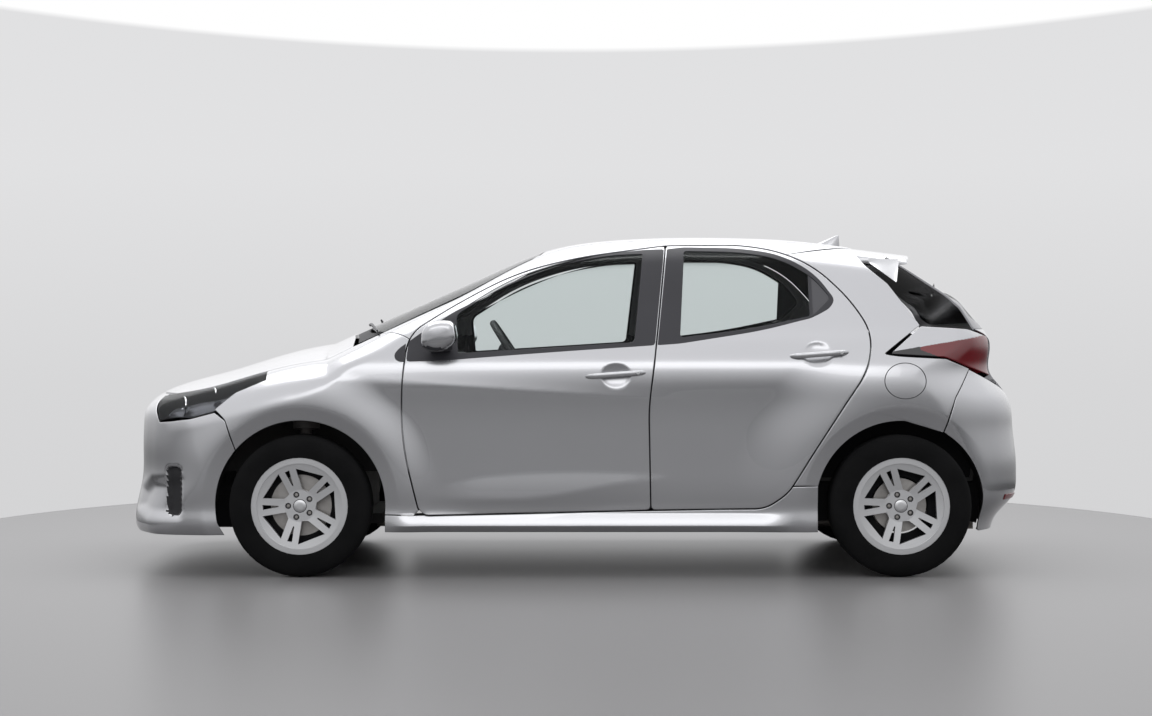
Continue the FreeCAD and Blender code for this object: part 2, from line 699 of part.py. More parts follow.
# side frame: sill, pillars, roof rail and rear quarter in one
TAIL_LAMP_SHARES = [(1.980, 1.954, .1), (2.165, 2.165, .3), (2.51, 2.14, .3), (2.70, 2.075, .3),
                    (2.75, 1.93, .3), (2.72, 1.83, .2), (2.52, 1.875, .8), (2.328, 1.930, .6),
                    (1.982, 1.942, .1)]
CABIN_TOP_SHARE = .96
thin = k.flange_depth + k.shut_gap
deep = k.door_depth + k.shut_gap
front_opening = side_outline(FRONT_DOOR_SHARES, -k.jamb_step)
rear_opening = side_outline(REAR_DOOR_SHARES, -k.jamb_step)
frame = slab(frame_face, INTO_SIDE, 0, k.side_depth).common(
    side_prism(SIDE_FRAME_SHARES, holes=[front_opening, rear_opening]))
arch = Part.makeCylinder(k.arch_opening, k.half_width, V(X_REAR, -k.half_width * 1.2, k.tyre_radius),
                         V(0, 1, 0))
wheelhouses = [Part.makeCylinder(k.arch_opening + k.rim_wall + k.seam, k.half_width,
                                 V(x, -k.half_width * .95, k.tyre_radius), V(0, 1, 0))
               for x in (X_FRONT, X_REAR)]
roof_cut = solid_box(x_at(1.2), x_at(2.2), -k.ditch_half_width - k.seam, 0, z_at(2.3), z_at(3.2))
inner = k.floor_half_width + k.seam
cabin = prism(rounded_outline([(-inner, 0, 0), (-inner, k.belt_height, 0),
                               (-k.cabin_roof_half, k.roof_height * CABIN_TOP_SHARE, 0),
                               (0, k.roof_height * CABIN_TOP_SHARE, 0), (0, 0, 0)]),
              "yz", x_at(1.05), x_at(2.6))
lamp_place = side_prism(TAIL_LAMP_SHARES, k.seam)
for cutter in (arch, wheelhouses[0], wheelhouses[1], roof_cut, cabin, lamp_place, screen_slot):
    frame = frame.cut(cutter)
swing = k.door_swing_gap - k.door_step
for cutter in (hollow_in(front_door_face, FRONT_DOOR_SHARES, k.shut_gap, thin, [front_opening]),
               hollow_in(front_hidden_face, FRONT_DOOR_SHARES, swing, deep, [front_opening]),
               hollow_in(rear_door_face, REAR_DOOR_SHARES, k.shut_gap, thin + k.glass_depth, [rear_opening]),
               hollow_in(rear_hidden_face, REAR_DOOR_SHARES, swing, deep, [rear_opening]),
               hollow_in(fender_face, FENDER_SHARES, k.seam, thin + k.glass_depth)):
    frame = frame.cut(cutter)
frame = biggest(frame)

# doors: a thin edge all round, a thick box inside it, and a window cut through
DOOR_BELT_SHARE = 1.97
FRONT_HANDLE_SHARES = [(1.476, 1.826, .8), (1.476, 1.850, .8), (1.574, 1.858, .8), (1.574, 1.832, .8)]
REAR_HANDLE_SHARES = [(1.8165, 1.932, .8), (1.8165, 1.956, .8), (1.913, 1.964, .8), (1.913, 1.938, .8)]
FRONT_CUP_SHARES = (1.526, 1.836)
REAR_CUP_SHARES = (1.862, 1.944)


def ellipse_prism(centre_shares, half_width, half_height):
    """A cut through the left side of the car over an ellipse in side view."""
    station, level = centre_shares
    centre = V(x_at(station), -k.half_width * SIDE_REACH_SHARE, z_at(level))
    ellipse = Part.Ellipse(centre + V(half_width, 0, 0), centre + V(0, 0, half_height), centre)
    return Part.Face(Part.Wire([ellipse.toShape()])).extrude(V(0, k.half_width, 0))


def with_handle(shape, face, handle_shares, cup_shares):
    """A door with a finger cup in its skin and a handle that bridges the cup."""
    cup = slab(face, INTO_SIDE, -k.overrun, k.cup_depth).common(
        ellipse_prism(cup_shares, k.cup_half_width, k.cup_half_height))
    handle = slab(face, INTO_SIDE, -k.handle_rise, k.handle_root).common(side_prism(handle_shares))
    bridged = slab(face, INTO_SIDE, -k.cup_depth, k.cup_depth).common(
        ellipse_prism(cup_shares, k.cup_half_width, k.cup_half_height))
    return biggest(shape.cut(cup).fuse(handle.cut(bridged)))


def door(face, shares, glass_shares):
    """A door from its side view outline and its window."""
    shape = slab(face, INTO_SIDE, 0, k.door_depth).common(side_prism(shares))
    step = side_prism(shares, k.overrun).cut(side_prism(shares, -k.door_step))
    step = step.common(slab(face, INTO_SIDE, k.flange_depth, k.door_depth + k.overrun))
    upper = slab(face, INTO_SIDE, k.frame_depth, k.door_depth + k.overrun).common(
        solid_box(x_at(1.0), x_at(2.2), -k.half_width * 1.2, 0, z_at(DOOR_BELT_SHARE), z_at(3.2)))
    return biggest(shape.cut([step, upper, side_prism(glass_shares)]))


def door_glass(face, shares):
    """A pane that fills a door's window, just inside the door's skin."""
    inset = k.glass_depth
    return biggest(slab(face, INTO_SIDE, inset, inset + k.glass_depth).common(side_prism(shares, -k.seam)))


for name, shape in (("side_frame", frame),
                    ("door_front", with_handle(door(front_door_face, FRONT_DOOR_SHARES, FRONT_GLASS_SHARES),
                                               front_door_face, FRONT_HANDLE_SHARES, FRONT_CUP_SHARES)),
                    ("door_rear", with_handle(door(rear_door_face, REAR_DOOR_SHARES, REAR_GLASS_SIDE_SHARES),
                                              rear_door_face, REAR_HANDLE_SHARES, REAR_CUP_SHARES)),
                    ("glass_front", door_glass(front_door_face, FRONT_GLASS_SHARES)),
                    ("glass_rear", door_glass(rear_door_face, REAR_GLASS_SIDE_SHARES))):
    keep(name + "_left", shape)
    keep(name + "_right", mirrored(shape))

# front fenders: skins over the shoulder, from the bumper to the doors
def side_skin(x0, x1, z0, y1, z1, depth, inset=0.0):
    """A thin piece of the left body side between two depths under the surface."""
    return slab(side_patch(x0, x1, z0, y1, z1), INTO_SIDE / INTO_SIDE.Length, inset, inset + depth)


HOOD_EDGE_SHARES = [(0.02, 0.0, .9), (0.055, .35, .9), (0.19, .64, .9), (0.42, .775, .8), (0.75, .800, 1),
                    (1.03, .822, .9), (1.082, .800, .3), (1.078, .55, 1), (1.068, .30, 1), (1.064, 0.0, 1)]


fender = side_skin(x_at(.45), x_at(1.19), z_at(1.0), k.half_width * .70, z_at(2.0), k.fender_skin)
fender = fender.common(side_prism(FENDER_SHARES))


HEADLAMP_SHARES = [(.0, 1.90, 0), (.0, 1.66, 0), (.227, 1.588, .3), (.405, 1.608, .6), (.538, 1.642, .5),
                   (.645, 1.735, .5), (.815, 1.812, .1), (.757, 1.840, .3), (.522, 1.90, 0)]
LAMP_INNER_SHARE = .50


def lamp_prism(grow=0.0):
    """A cut through the left headlamp's place."""
    return side_prism(HEADLAMP_SHARES, grow, high=-k.half_width * LAMP_INNER_SHARE + grow)


front_arch = Part.makeCylinder(k.arch_opening, k.half_width,
                               V(X_FRONT, -k.half_width * 1.2, k.tyre_radius), V(0, 1, 0))
fender = fender.cut(front_arch).cut(lamp_prism(k.seam))
fender = fender.cut(plan_prism(HOOD_EDGE_SHARES, k.shut_gap, z_at(1.5), z_at(2.3)))
fender = biggest(fender)
keep("front_fenders", Part.makeCompound([fender, mirrored(fender)]))


# hood
hood_face = top_patch(x_at(.015), z_at(1.6), x_at(1.10), z_at(2.05), k.half_width * .86, .45)
HOOD_FOOT_SHARE = 1.735
hood = slab(hood_face, V(.2, 0, -1), 0, k.hood_depth).common(
    plan_prism(HOOD_EDGE_SHARES, 0, z_at(HOOD_FOOT_SHARE), z_at(2.4)))
hood = biggest(hood)
keep("hood", hood)

# roof
ROOF_PLAN_SHARES = [(1.411, 0.0, 1), (1.408, .35, 1), (1.399, .6077, .05), (1.60, .6077, 0),
                    (1.929, .6077, .1), (1.931, .35, 1), (1.932, 0.0, 1)]
roof_face = top_patch(x_at(1.36), z_at(3), x_at(2.02), z_at(3), k.half_width * .64, 0)
roof = slab(roof_face, V(0, 0, -1), 0, k.roof_depth).common(
    plan_prism(ROOF_PLAN_SHARES, 0, z_at(2.5), z_at(3.2)))
FIN_SHARES = [(1.868, 2.95, 0), (1.886, 3.008, .8), (1.925, 3.052, .3), (1.927, 2.95, 0)]
fin = prism(side_outline(FIN_SHARES), "xz", -k.fin_width / 2, k.fin_width / 2)
keep("roof_panel", biggest(roof.fuse(fin)))
# tailgate: shell, spoiler and glass
TAILGATE_SHARES = [(.607, 3.15, 0), (.607, 2.90, 0), (.70, 2.60, .3), (.80, 2.20, .2), (.815, 2.13, .1),
                   (.655, 2.02, .3), (.645, 1.80, .3), (.60, 1.735, .5)]
TAILGATE_GLASS_SHARES = [(.690, 2.63, .1), (.802, 2.185, .1), (.790, 2.155, .2)]


def tail_outline(half_shares, grow=0.0):
    """A rear view outline, the same on both sides, from (share of half width, level, round)."""
    right = [(k.half_width * w, z_at(l), r) for w, l, r in half_shares]
    left = [(-y, z, r) for y, z, r in reversed(right) if y > 0]
    return rounded_outline(right + left, grow)


def tail_prism(half_shares, grow=0.0, low=None, high=None):
    low = x_at(1.9) if low is None else low
    high = x_at(3.1) if high is None else high
    return prism(tail_outline(half_shares, grow), "yz", low, high)


GATE_CUT_SHARE = 1.934
tail_face = top_patch(x_at(2.02), z_at(2.95), x_at(3.0), z_at(1.35), k.half_width * .88, -1.2)
INTO_TAIL = V(-.8, 0, -.6)
front_limit = solid_box(x_at(GATE_CUT_SHARE), x_at(3.1), -k.half_width, k.half_width, z_at(1.2), z_at(3.2))
tailgate = slab(tail_face, INTO_TAIL, 0, k.tailgate_depth).common(
    tail_prism(TAILGATE_SHARES)).common(front_limit)
glass_bed = slab(tail_face, INTO_TAIL, -k.overrun, k.glass_depth).common(
    tail_prism(TAILGATE_GLASS_SHARES, 0, x_at(2.02)))
tailgate_glass = slab(tail_face, INTO_TAIL, 0, k.glass_depth - k.seam).common(
    tail_prism(TAILGATE_GLASS_SHARES, -k.seam, x_at(2.02)))
tailgate = tailgate.cut(glass_bed)


def spoiler_section(share):
    """The closed outline of the spoiler across the car at a share of its half length."""
    y = k.half_width * SPOILER_HALF_SHARE * share
    sweep = k.rear_overhang * SPOILER_SWEEP_SHARE * share * share
    points = []
    for s, rise in SPOILER_SHARES:
        x = x_at(s) - sweep * (x_at(s) - x_at(GATE_CUT_SHARE)) / (x_at(2.229) - x_at(GATE_CUT_SHARE))
        surface = roof_line(x) - crown(x, y) - k.spoiler_drop * share ** 4
        points.append(V(x, y, surface - k.tailgate_depth * rise))
    return Part.makePolygon(points + points[:1])


# station and depth below the roof line, as a share of the tailgate's thickness
SPOILER_SHARES = [(GATE_CUT_SHARE, 0.0), (2.05, 0.0), (2.15, 0.0), (2.229, 0.0), (2.226, .22), (2.14, .55),
                  (2.05, .95), (GATE_CUT_SHARE, .80)]
SPOILER_HALF_SHARE = .606
SPOILER_SWEEP_SHARE = .10
SPOILER_STEP_SHARES = [-1.0, -.8, -.5, -.2, .2, .5, .8, 1.0]
spoiler = Part.makeLoft([spoiler_section(s) for s in SPOILER_STEP_SHARES], True)
tailgate = biggest(tailgate).fuse(spoiler).removeSplitter()
keep("tailgate", biggest(tailgate))
keep("tailgate_glass", biggest(tailgate_glass))

# bumpers
FRONT_BUMPER_SHARES = [(-.2, .60, 0), (-.2, 1.72, 0), (.20, 1.72, 0), (.227, 1.585, .2), (.405, 1.605, .3),
                       (.534, 1.640, .1), (.655, 1.550, 0), (.80, 1.3, 0), (.80, .60, 0)]
REAR_BUMPER_SHARES = [(2.322, 1.55, 0), (2.396, 1.718, .5), (2.519, 1.868, 0), (2.62, 1.835, .3),
                      (2.72, 1.80, 0), (2.76, 1.727, 0), (3.2, 1.72, 0), (3.2, .95, 0), (2.45, 1.02, 0),
                      (2.2, 1.02, 0), (2.2, 1.4, 0)]


def bumper(centre_x, low, high, spread, shares, arch_x):
    shape = fan_skin(centre_x, low, high, -spread, spread, 0, k.bumper_skin)
    shape = shape.common(both_sides_prism(shares))
    hole = Part.makeCylinder(k.arch_opening, k.half_width * 3, V(arch_x, -k.half_width * 1.5, k.tyre_radius),
                             V(0, 1, 0))
    return biggest(shape.cut(hole))


# grille slots in the nose: half width, lowest level, number of slots
INTAKE_SHARES = (.50, 1.075)
INTAKE_SLOTS = 4
GRILLE_SHARES = (.40, 1.545)
GRILLE_SLOTS = 2
SIDE_SLOT_SHARES = [(.280, 1.085, .3), (.280, 1.345, .3), (.352, 1.345, .3), (.352, 1.085, .3)]


def slots(shares, count):
    """Level slots through the nose, one above the other, with a bar between each two."""
    half, low_level = shares
    cuts = []
    for i in range(count):
        low = z_at(low_level) + k.slat_pitch * i
        high = low + k.slat_pitch - k.slat_depth
        outline = [(-k.half_width * half, low, 1), (-k.half_width * half, high, 1),
                   (k.half_width * half, high, 1), (k.half_width * half, low, 1)]
        cuts.append(prism(rounded_outline(outline), "yz", X_NOSE - k.overrun, x_at(GRILLE_BACK_SHARE)))
    return cuts


GRILLE_BACK_SHARE = .30
front_bumper = bumper(x_at(.80), z_at(.92), z_at(1.74), 1.42, FRONT_BUMPER_SHARES, X_FRONT)
front_bumper = front_bumper.cut(slots(INTAKE_SHARES, INTAKE_SLOTS) + slots(GRILLE_SHARES, GRILLE_SLOTS)
                                + [both_sides_prism(SIDE_SLOT_SHARES)])
front_bumper = biggest(front_bumper.cut(lamp_prism(k.seam)).cut(mirrored(lamp_prism(k.seam))))
rear_bumper = bumper(x_at(2.10), z_at(1.05), z_at(1.90), 1.42, REAR_BUMPER_SHARES, X_REAR)
rear_bumper = biggest(rear_bumper.cut(both_sides_prism(SIDE_FRAME_SHARES, k.seam)))
keep("front_bumper", front_bumper)
keep("rear_bumper", rear_bumper)
# Bodies made of sketches and features

def new_body(name):
    body = doc.addObject("PartDesign::Body", name)
    body.Label = name
    return body


def plane_of(body, role):
    return next(f for f in body.Origin.OriginFeatures if f.Role == role)


def new_sketch(body, role, name, height=None):
    """A sketch on one of the body's own planes, lifted by a bound height where one is given."""
    sketch = body.newObject("Sketcher::SketchObject", name)
    sketch.AttachmentSupport = [(plane_of(body, role), "")]
    sketch.MapMode = "FlatFace"
    if height is not None:
        sketch.setExpression("AttachmentOffset.Base.z", text_of(height))
    return sketch


def bind_point(sketch, geometry, end, across, up):
    """Holds one point of a sketch at two bound distances from the origin."""
    for kind, length in (("DistanceX", across), ("DistanceY", up)):
        index = sketch.addConstraint(Sketcher.Constraint(kind, -1, 1, geometry, end, float(length)))
        sketch.setExpression(f"Constraints[{index}]", text_of(length))


def draw_outline(sketch, corners):
    """A closed outline of straight sides, each corner bound to its sizes."""
    count = len(corners)
    first = sketch.GeometryCount
    for i in range(count):
        start, finish = corners[i], corners[(i + 1) % count]
        sketch.addGeometry(Part.LineSegment(V(start[0], start[1], 0), V(finish[0], finish[1], 0)), False)
    for i in range(count):
        sketch.addConstraint(Sketcher.Constraint("Coincident", first + i, 2, first + (i + 1) % count, 1))
    for i, (across, up) in enumerate(corners):
        bind_point(sketch, first + i, 1, across, up)


def draw_circle(sketch, across, up, radius):
    number = sketch.addGeometry(Part.Circle(V(across, up, 0), V(0, 0, 1), float(radius)), False)
    index = sketch.addConstraint(Sketcher.Constraint("Radius", number, float(radius)))
    sketch.setExpression(f"Constraints[{index}]", text_of(radius))
    bind_point(sketch, number, 3, across, up)


def pad(body, sketch, length, both=False, back=False):
    feature = body.newObject("PartDesign::Pad", sketch.Name + "Pad")
    feature.Profile = sketch
    feature.setExpression("Length", text_of(length))
    feature.Midplane = both
    feature.Reversed = back
    return feature


def pocket(body, sketch, length=None, both=False, back=False):
    """A cut, right through where no length is given."""
    feature = body.newObject("PartDesign::Pocket", sketch.Name + "Cut")
    feature.Profile = sketch
    if length is None:
        feature.Type = 1
    else:
        feature.setExpression("Length", text_of(length))
    feature.Midplane = both
    feature.Reversed = back
    return feature


def turned(body, sketch):
    """A full turn about the sketch's upright axis."""
    feature = body.newObject("PartDesign::Revolution", sketch.Name + "Turn")
    feature.Profile = sketch
    feature.ReferenceAxis = (sketch, ["V_Axis"])
    feature.Angle = 360
    return feature


def repeated(body, feature, count):
    """Copies of a feature round the body's upright axis."""
    pattern = body.newObject("PartDesign::PolarPattern", feature.Name + "Round")
    pattern.Originals = [feature]
    pattern.Axis = (next(f for f in body.Origin.OriginFeatures if f.Role == "Z_Axis"), [""])
    pattern.Angle = 360
    pattern.Occurrences = count
    body.Tip = pattern
    return pattern


def placed_body(body, x, y, z, axis=V(0, 0, 1), angle=0.0):
    """Puts a finished body in its place and lists it as a node."""
    body.Placement = FreeCAD.Placement(V(x, y, z), FreeCAD.Rotation(axis, angle))
    nodes.append(body)
    return body


HUB_SHARE = .45


def hub_side(sizes):
    """Middle plane to the outer face of a brake disc or drum."""
    face_back = sizes.rim_width / 2 - sizes.rim_wall - sizes.spoke_rise - sizes.spoke_depth
    return sizes.track_half + face_back * HUB_SHARE


CORNERS = {"front_left": (X_FRONT, -1), "front_right": (X_FRONT, 1),
           "rear_left": (X_REAR, -1), "rear_right": (X_REAR, 1)}


def tyre(name):
    """A tyre about its own upright axis, from its bead to its tread."""
    body = new_body(name)
    half = d.tyre_width / 2
    tread = d.tread_width / 2
    bead = d.rim_width / 2 - d.rim_wall
    wall = d.tyre_radius - d.bead_radius
    sketch = new_sketch(body, "XZ_Plane", name + "Section")
    section_corners = [
        (d.bead_radius + d.seam, -bead), (d.rim_radius + d.seam, -bead),
        (d.bead_radius + wall * .35, -half * .98),
        (d.bead_radius + wall * .55, -half), (d.bead_radius + wall * .80, -half * .94),
        (d.tyre_radius - wall * .06, -tread), (d.tyre_radius, -tread * .88),
        (d.tyre_radius, tread * .88), (d.tyre_radius - wall * .06, tread),
        (d.bead_radius + wall * .80, half * .94), (d.bead_radius + wall * .55, half),
        (d.bead_radius + wall * .35, half * .98),
        (d.rim_radius + d.seam, bead), (d.bead_radius + d.seam, bead)]
    draw_outline(sketch, section_corners)
    turned(body, sketch)
    return body


SPOKES = 5
WINDOW_SHARES = [(.36, -.20), (.40, .20), (.88, .42), (.90, -.36)]
SLOT_SHARES = [(.50, .62), (.50, .68), (.86, .73), (.87, .60)]


def rim(name, front):
    """A wheel with its brake: barrel, face with windows, bolt recesses, hub and disc or drum."""
    body = new_body(name)
    outer = d.rim_width / 2
    barrel_in = d.bead_radius - d.rim_wall
    sketch = new_sketch(body, "XZ_Plane", name + "Barrel")
    draw_outline(sketch, [
        (barrel_in, -outer), (d.rim_radius, -outer), (d.rim_radius, -outer + d.rim_wall - d.seam),
        (d.bead_radius, -outer + d.rim_wall - d.seam), (d.bead_radius, outer - d.rim_wall + d.seam),
        (d.rim_radius, outer - d.rim_wall + d.seam), (d.rim_radius, outer), (barrel_in, outer)])
    turned(body, sketch)
    face_top = outer - d.rim_wall
    sketch = new_sketch(body, "XZ_Plane", name + "Face")
    draw_outline(sketch, [
        (d.hub_cap_radius * 0, face_top - d.spoke_rise), (d.hub_radius, face_top - d.spoke_rise),
        (barrel_in + d.rim_wall / 2, face_top), (barrel_in + d.rim_wall / 2, face_top - d.spoke_depth),
        (d.hub_radius, face_top - d.spoke_rise - d.spoke_depth),
        (d.hub_cap_radius * 0, face_top - d.spoke_rise - d.spoke_depth)])
    turned(body, sketch)
    for tag, shares in (("Window", WINDOW_SHARES), ("Slot", SLOT_SHARES)):
        sketch = new_sketch(body, "XY_Plane", name + tag)
        draw_outline(sketch, [(barrel_in * (r * math.cos(a)), barrel_in * (r * math.sin(a)))
                              for r, a in shares])
        repeated(body, pocket(body, sketch, outer, back=True), SPOKES)
    sketch = new_sketch(body, "XY_Plane", name + "Bolts", face_top)
    draw_circle(sketch, d.bolt_circle / 2 * math.cos(math.pi / SPOKES),
                d.bolt_circle / 2 * math.sin(math.pi / SPOKES), d.bolt_recess)
    repeated(body, pocket(body, sketch, d.spoke_rise + d.spoke_depth * .6), SPOKES)
    sketch = new_sketch(body, "XZ_Plane", name + "Hub")
    radius = d.disc_radius if front else d.drum_radius
    depth = d.disc_depth if front else d.drum_depth
    top = face_top - d.spoke_rise - d.spoke_depth
    draw_outline(sketch, [
        (d.hub_cap_radius * 0, top), (d.hub_radius, top), (d.hub_radius, top * HUB_SHARE),
        (radius, top * HUB_SHARE), (radius, top * HUB_SHARE - depth),
        (d.hub_cap_radius * 0, top * HUB_SHARE - depth)])
    turned(body, sketch)
    return body


for corner, (x, side) in CORNERS.items():
    quarter = 90 if side < 0 else -90
    tyre_body = tyre("tyre_" + corner)
    placed_body(tyre_body, x, side * d.track_half, d.tyre_radius, V(1, 0, 0), quarter)
    rim_body = rim("rim_" + corner, corner.startswith("front"))
    placed_body(rim_body, x, side * d.track_half, d.tyre_radius, V(1, 0, 0), quarter)
doc.recompute()
# lamps, cowl, grille, mirrors
lamp_skin = fan_skin(x_at(1.0), z_at(.35), z_at(1.48), .45, 1.35, 0, k.lamp_depth, .6)
head = lamp_skin.common(lamp_prism())
headlamp = biggest(head.cut(plan_prism(HOOD_EDGE_SHARES, k.shut_gap, z_at(1.3), z_at(2.3))))
keep("headlamps", Part.makeCompound([headlamp, mirrored(headlamp)]))

rear_skin = fan_skin(x_at(1.75), z_at(1.25), z_at(1.75), .45, 1.45, 0, k.lamp_depth, .35)
tail_lamp = biggest(rear_skin.common(side_prism(TAIL_LAMP_SHARES, -k.seam, high=-k.half_width * .58)))
tail_lamp = biggest(tail_lamp.cut(tail_prism(TAILGATE_SHARES, k.shut_gap, x_at(1.9))))
keep("tail_lamps", Part.makeCompound([tail_lamp, mirrored(tail_lamp)]))

COWL_SHARES = [(1.074, 0.0, 1), (1.077, .30, 1), (1.088, .55, 1), (1.094, .74, .3), (1.130, .74, .1),
               (1.117, .66, 1), (1.101, .35, 1), (1.0965, 0.0, 1)]
# running gear
def tube(start, finish, radius):
    """A round bar between two points."""
    way = finish - start
    return Part.makeCylinder(radius, way.Length, start, way)


def block(name, low, high, rounding=None):
    """A box body between two corners given in sizes, its upright edges rounded where asked."""
    body = new_body(name)
    sketch = new_sketch(body, "XY_Plane", name + "Plan", low[2])
    draw_outline(sketch, [(low[0], low[1]), (high[0], low[1]), (high[0], high[1]), (low[0], high[1])])
    pad(body, sketch, high[2] - low[2])
    return body


def side_view_body(name, corners, half_width):
    """A body drawn in side view and padded both ways from the middle plane."""
    body = new_body(name)
    sketch = new_sketch(body, "XZ_Plane", name + "Side")
    draw_outline(sketch, corners)
    pad(body, sketch, half_width * 2, both=True)
    return body


def level(share):
    """A height as a bound size, from its level."""
    marks = [d.sill_height * 0, d.sill_height, d.belt_height, d.roof_height]
    first = min(max(int(math.floor(share)), 0), 2)
    return marks[first] + (marks[first + 1] - marks[first]) * (share - first)


def station(share):
    """A place along the car as a bound size, from its station."""
    marks = [X_NOSE, X_FRONT, X_REAR, X_TAIL]
    first = min(max(int(math.floor(share)), 0), 2)
    return marks[first] + (marks[first + 1] - marks[first]) * (share - first)


# floor: firewall, toe board, floor, seat step, boot floor and rear panel from one bent sheet
FLOOR_SHARE = 1.104
BOOT_FLOOR_SHARE = 1.26
FLOOR_LINE_SHARES = [(1.146, 1.93), (1.150, 1.30), (1.19, FLOOR_SHARE), (1.70, FLOOR_SHARE),
                     (1.745, BOOT_FLOOR_SHARE), (2.58, BOOT_FLOOR_SHARE), (2.64, 1.55)]


def bent_sheet(points, depth):
    """The outline of a sheet of even thickness laid along points in side view."""
    upper = []
    for i, (x, z) in enumerate(points):
        ways = []
        for a, b in ((i - 1, i), (i, i + 1)):
            if a >= 0 and b < len(points):
                dx, dz = float(points[b][0] - points[a][0]), float(points[b][1] - points[a][1])
                ways.append((dx / math.hypot(dx, dz), dz / math.hypot(dx, dz)))
        nx = -sum(w[1] for w in ways) / len(ways)
        nz = sum(w[0] for w in ways) / len(ways)
        scale = 1 / (nx * nx + nz * nz)
        upper.append((x + depth * (nx * scale), z + depth * (nz * scale)))
    return list(points) + list(reversed(upper))


floor = side_view_body("floor_pan", bent_sheet([(station(s), level(l)) for s, l in FLOOR_LINE_SHARES],
                                               d.floor_depth), d.floor_half_width)
wheel_cut = new_sketch(floor, "XY_Plane", "WheelHouses")
house = d.arch_opening + d.rim_wall + d.seam
house_in = d.track_half - d.tyre_width * .66
for side in (-1, 1):
    draw_outline(wheel_cut, [(X_REAR - house, house_in * side), (X_REAR + house, house_in * side),
                             (X_REAR + house, d.half_width * side), (X_REAR - house, d.half_width * side)])
pocket(floor, wheel_cut, d.roof_height, both=True)
placed_body(floor, 0, 0, 0)

# arch liners: a curved shell over each wheel with an inner wall behind it
liners = []
for x, side in CORNERS.values():
    inner_y = k.track_half - k.tyre_width * (.30 if x < 0 else .63)
    outer_y = k.half_width * (.93 if x < 0 else .86)
    foot = V(x, inner_y, k.tyre_radius)
    shell = Part.makeCylinder(k.arch_opening + k.rim_wall, outer_y - inner_y, foot, V(0, 1, 0))
    hollow = Part.makeCylinder(k.arch_opening + k.rim_wall * .4, outer_y - inner_y, foot, V(0, 1, 0))
    below = solid_box(x - k.arch_ridge, x + k.arch_ridge, 0, k.half_width, -k.arch_ridge, k.sill_height * 1.7)
    ring = shell.cut(hollow).cut(below)
    if side < 0:
        ring = mirrored(ring)
    liners.append(ring)
keep("arch_liners", Part.makeCompound(liners))

# engine: one plain block between the front wheels
sub_low = level(1.0)
sub_top = sub_low + d.disc_depth * 2
engine = block("engine_block", (station(.56), -d.half_width * .40, sub_top + d.seam),
               (station(1.09), d.half_width * .40, level(1.72)))
placed_body(engine, 0, 0, 0)

# knuckles: an upright inside each front wheel with the strut and spring it carries
def knuckle(side):
    foot = V(X_FRONT, side * k.ball_joint_side, k.ball_joint_height)
    top = V(X_FRONT, side * k.strut_top_side, k.strut_top_height)
    strut_foot = V(X_FRONT, side * k.strut_foot_side, k.strut_foot_height)
    hub_y = side * (hub_side(k) - k.disc_depth - k.axle_gap)
    upright = tube(V(X_FRONT, side * k.strut_foot_side, k.tyre_radius), V(X_FRONT, hub_y, k.tyre_radius),
                   k.hub_radius * .8)
    arm = tube(V(X_FRONT, side * (k.strut_foot_side + k.strut_radius), k.tyre_radius), foot, k.strut_radius)
    strut = tube(strut_foot, top, k.strut_radius)
    way = (top - strut_foot).normalize()
    rise = (k.spring_foot_height - k.strut_foot_height) / way.z
    seat = strut_foot + way * rise
    spring = tube(seat, top - way * k.strut_radius, k.spring_radius)
    return upright.fuse([arm, strut, spring]).removeSplitter()


for name, side in (("knuckle_left", -1), ("knuckle_right", 1)):
    keep(name, knuckle(side))

# steering wheel on its raked column
steering = new_body("steering_wheel")
sketch = new_sketch(steering, "XZ_Plane", "Grip")
draw_circle(sketch, d.wheel_grip_radius, d.grip_radius * 0, d.grip_radius)
turned(steering, sketch)
sketch = new_sketch(steering, "XY_Plane", "Arms")
arm_half = d.grip_radius * 1.4
draw_outline(sketch, [(-d.wheel_grip_radius, -arm_half), (d.wheel_grip_radius, -arm_half),
                      (d.wheel_grip_radius, arm_half), (-d.wheel_grip_radius, arm_half)])
pad(steering, sketch, d.grip_radius, both=True)
sketch = new_sketch(steering, "XY_Plane", "Boss")
draw_circle(sketch, d.steer_x * 0, d.steer_x * 0, d.steer_boss_radius)
pad(steering, sketch, d.steer_boss_depth, both=True)
COLUMN_RAKE_DEGREES = 33
placed_body(steering, d.steer_x, -d.steer_side, d.steer_height, V(0, 1, 0), 90 - COLUMN_RAKE_DEGREES)
doc.recompute()
# cowl between the hood and the windscreen
COWL_LOW_SHARE = 1.86
COWL_HIGH_SHARE = 1.95
keep("cowl_panel", prism(plan_outline(COWL_SHARES), "xy", z_at(COWL_LOW_SHARE), z_at(COWL_HIGH_SHARE)))


def bound_box(name, low, high):
    """A box between two corners, each of its sizes bound to the sheet."""
    box = doc.addObject("Part::Box", name)
    for prop, length in zip(("Length", "Width", "Height"), (high[i] - low[i] for i in range(3))):
        box.setExpression(prop, text_of(length))
    for part, place in zip("xyz", low):
        box.setExpression(f"Placement.Base.{part}", text_of(place))
    return box


def bound_cylinder(name, start, way, length, radius):
    """A round bar from a point along +x, +y or +z, bound to the sheet."""
    bar = doc.addObject("Part::Cylinder", name)
    bar.setExpression("Radius", text_of(radius))
    bar.setExpression("Height", text_of(length))
    turn = {"x": (V(0, 1, 0), 90), "y": (V(1, 0, 0), -90), "z": (V(0, 0, 1), 0)}[way]
    bar.Placement = FreeCAD.Placement(V(0, 0, 0), FreeCAD.Rotation(*turn))
    for part, place in zip("xyz", start):
        bar.setExpression(f"Placement.Base.{part}", text_of(place))
    return bar


def bound_fuse(name, parts):
    fused = doc.addObject("Part::MultiFuse", name)
    fused.Label = name
    fused.Shapes = parts
    fused.Refine = True
    nodes.append(fused)
    return fused


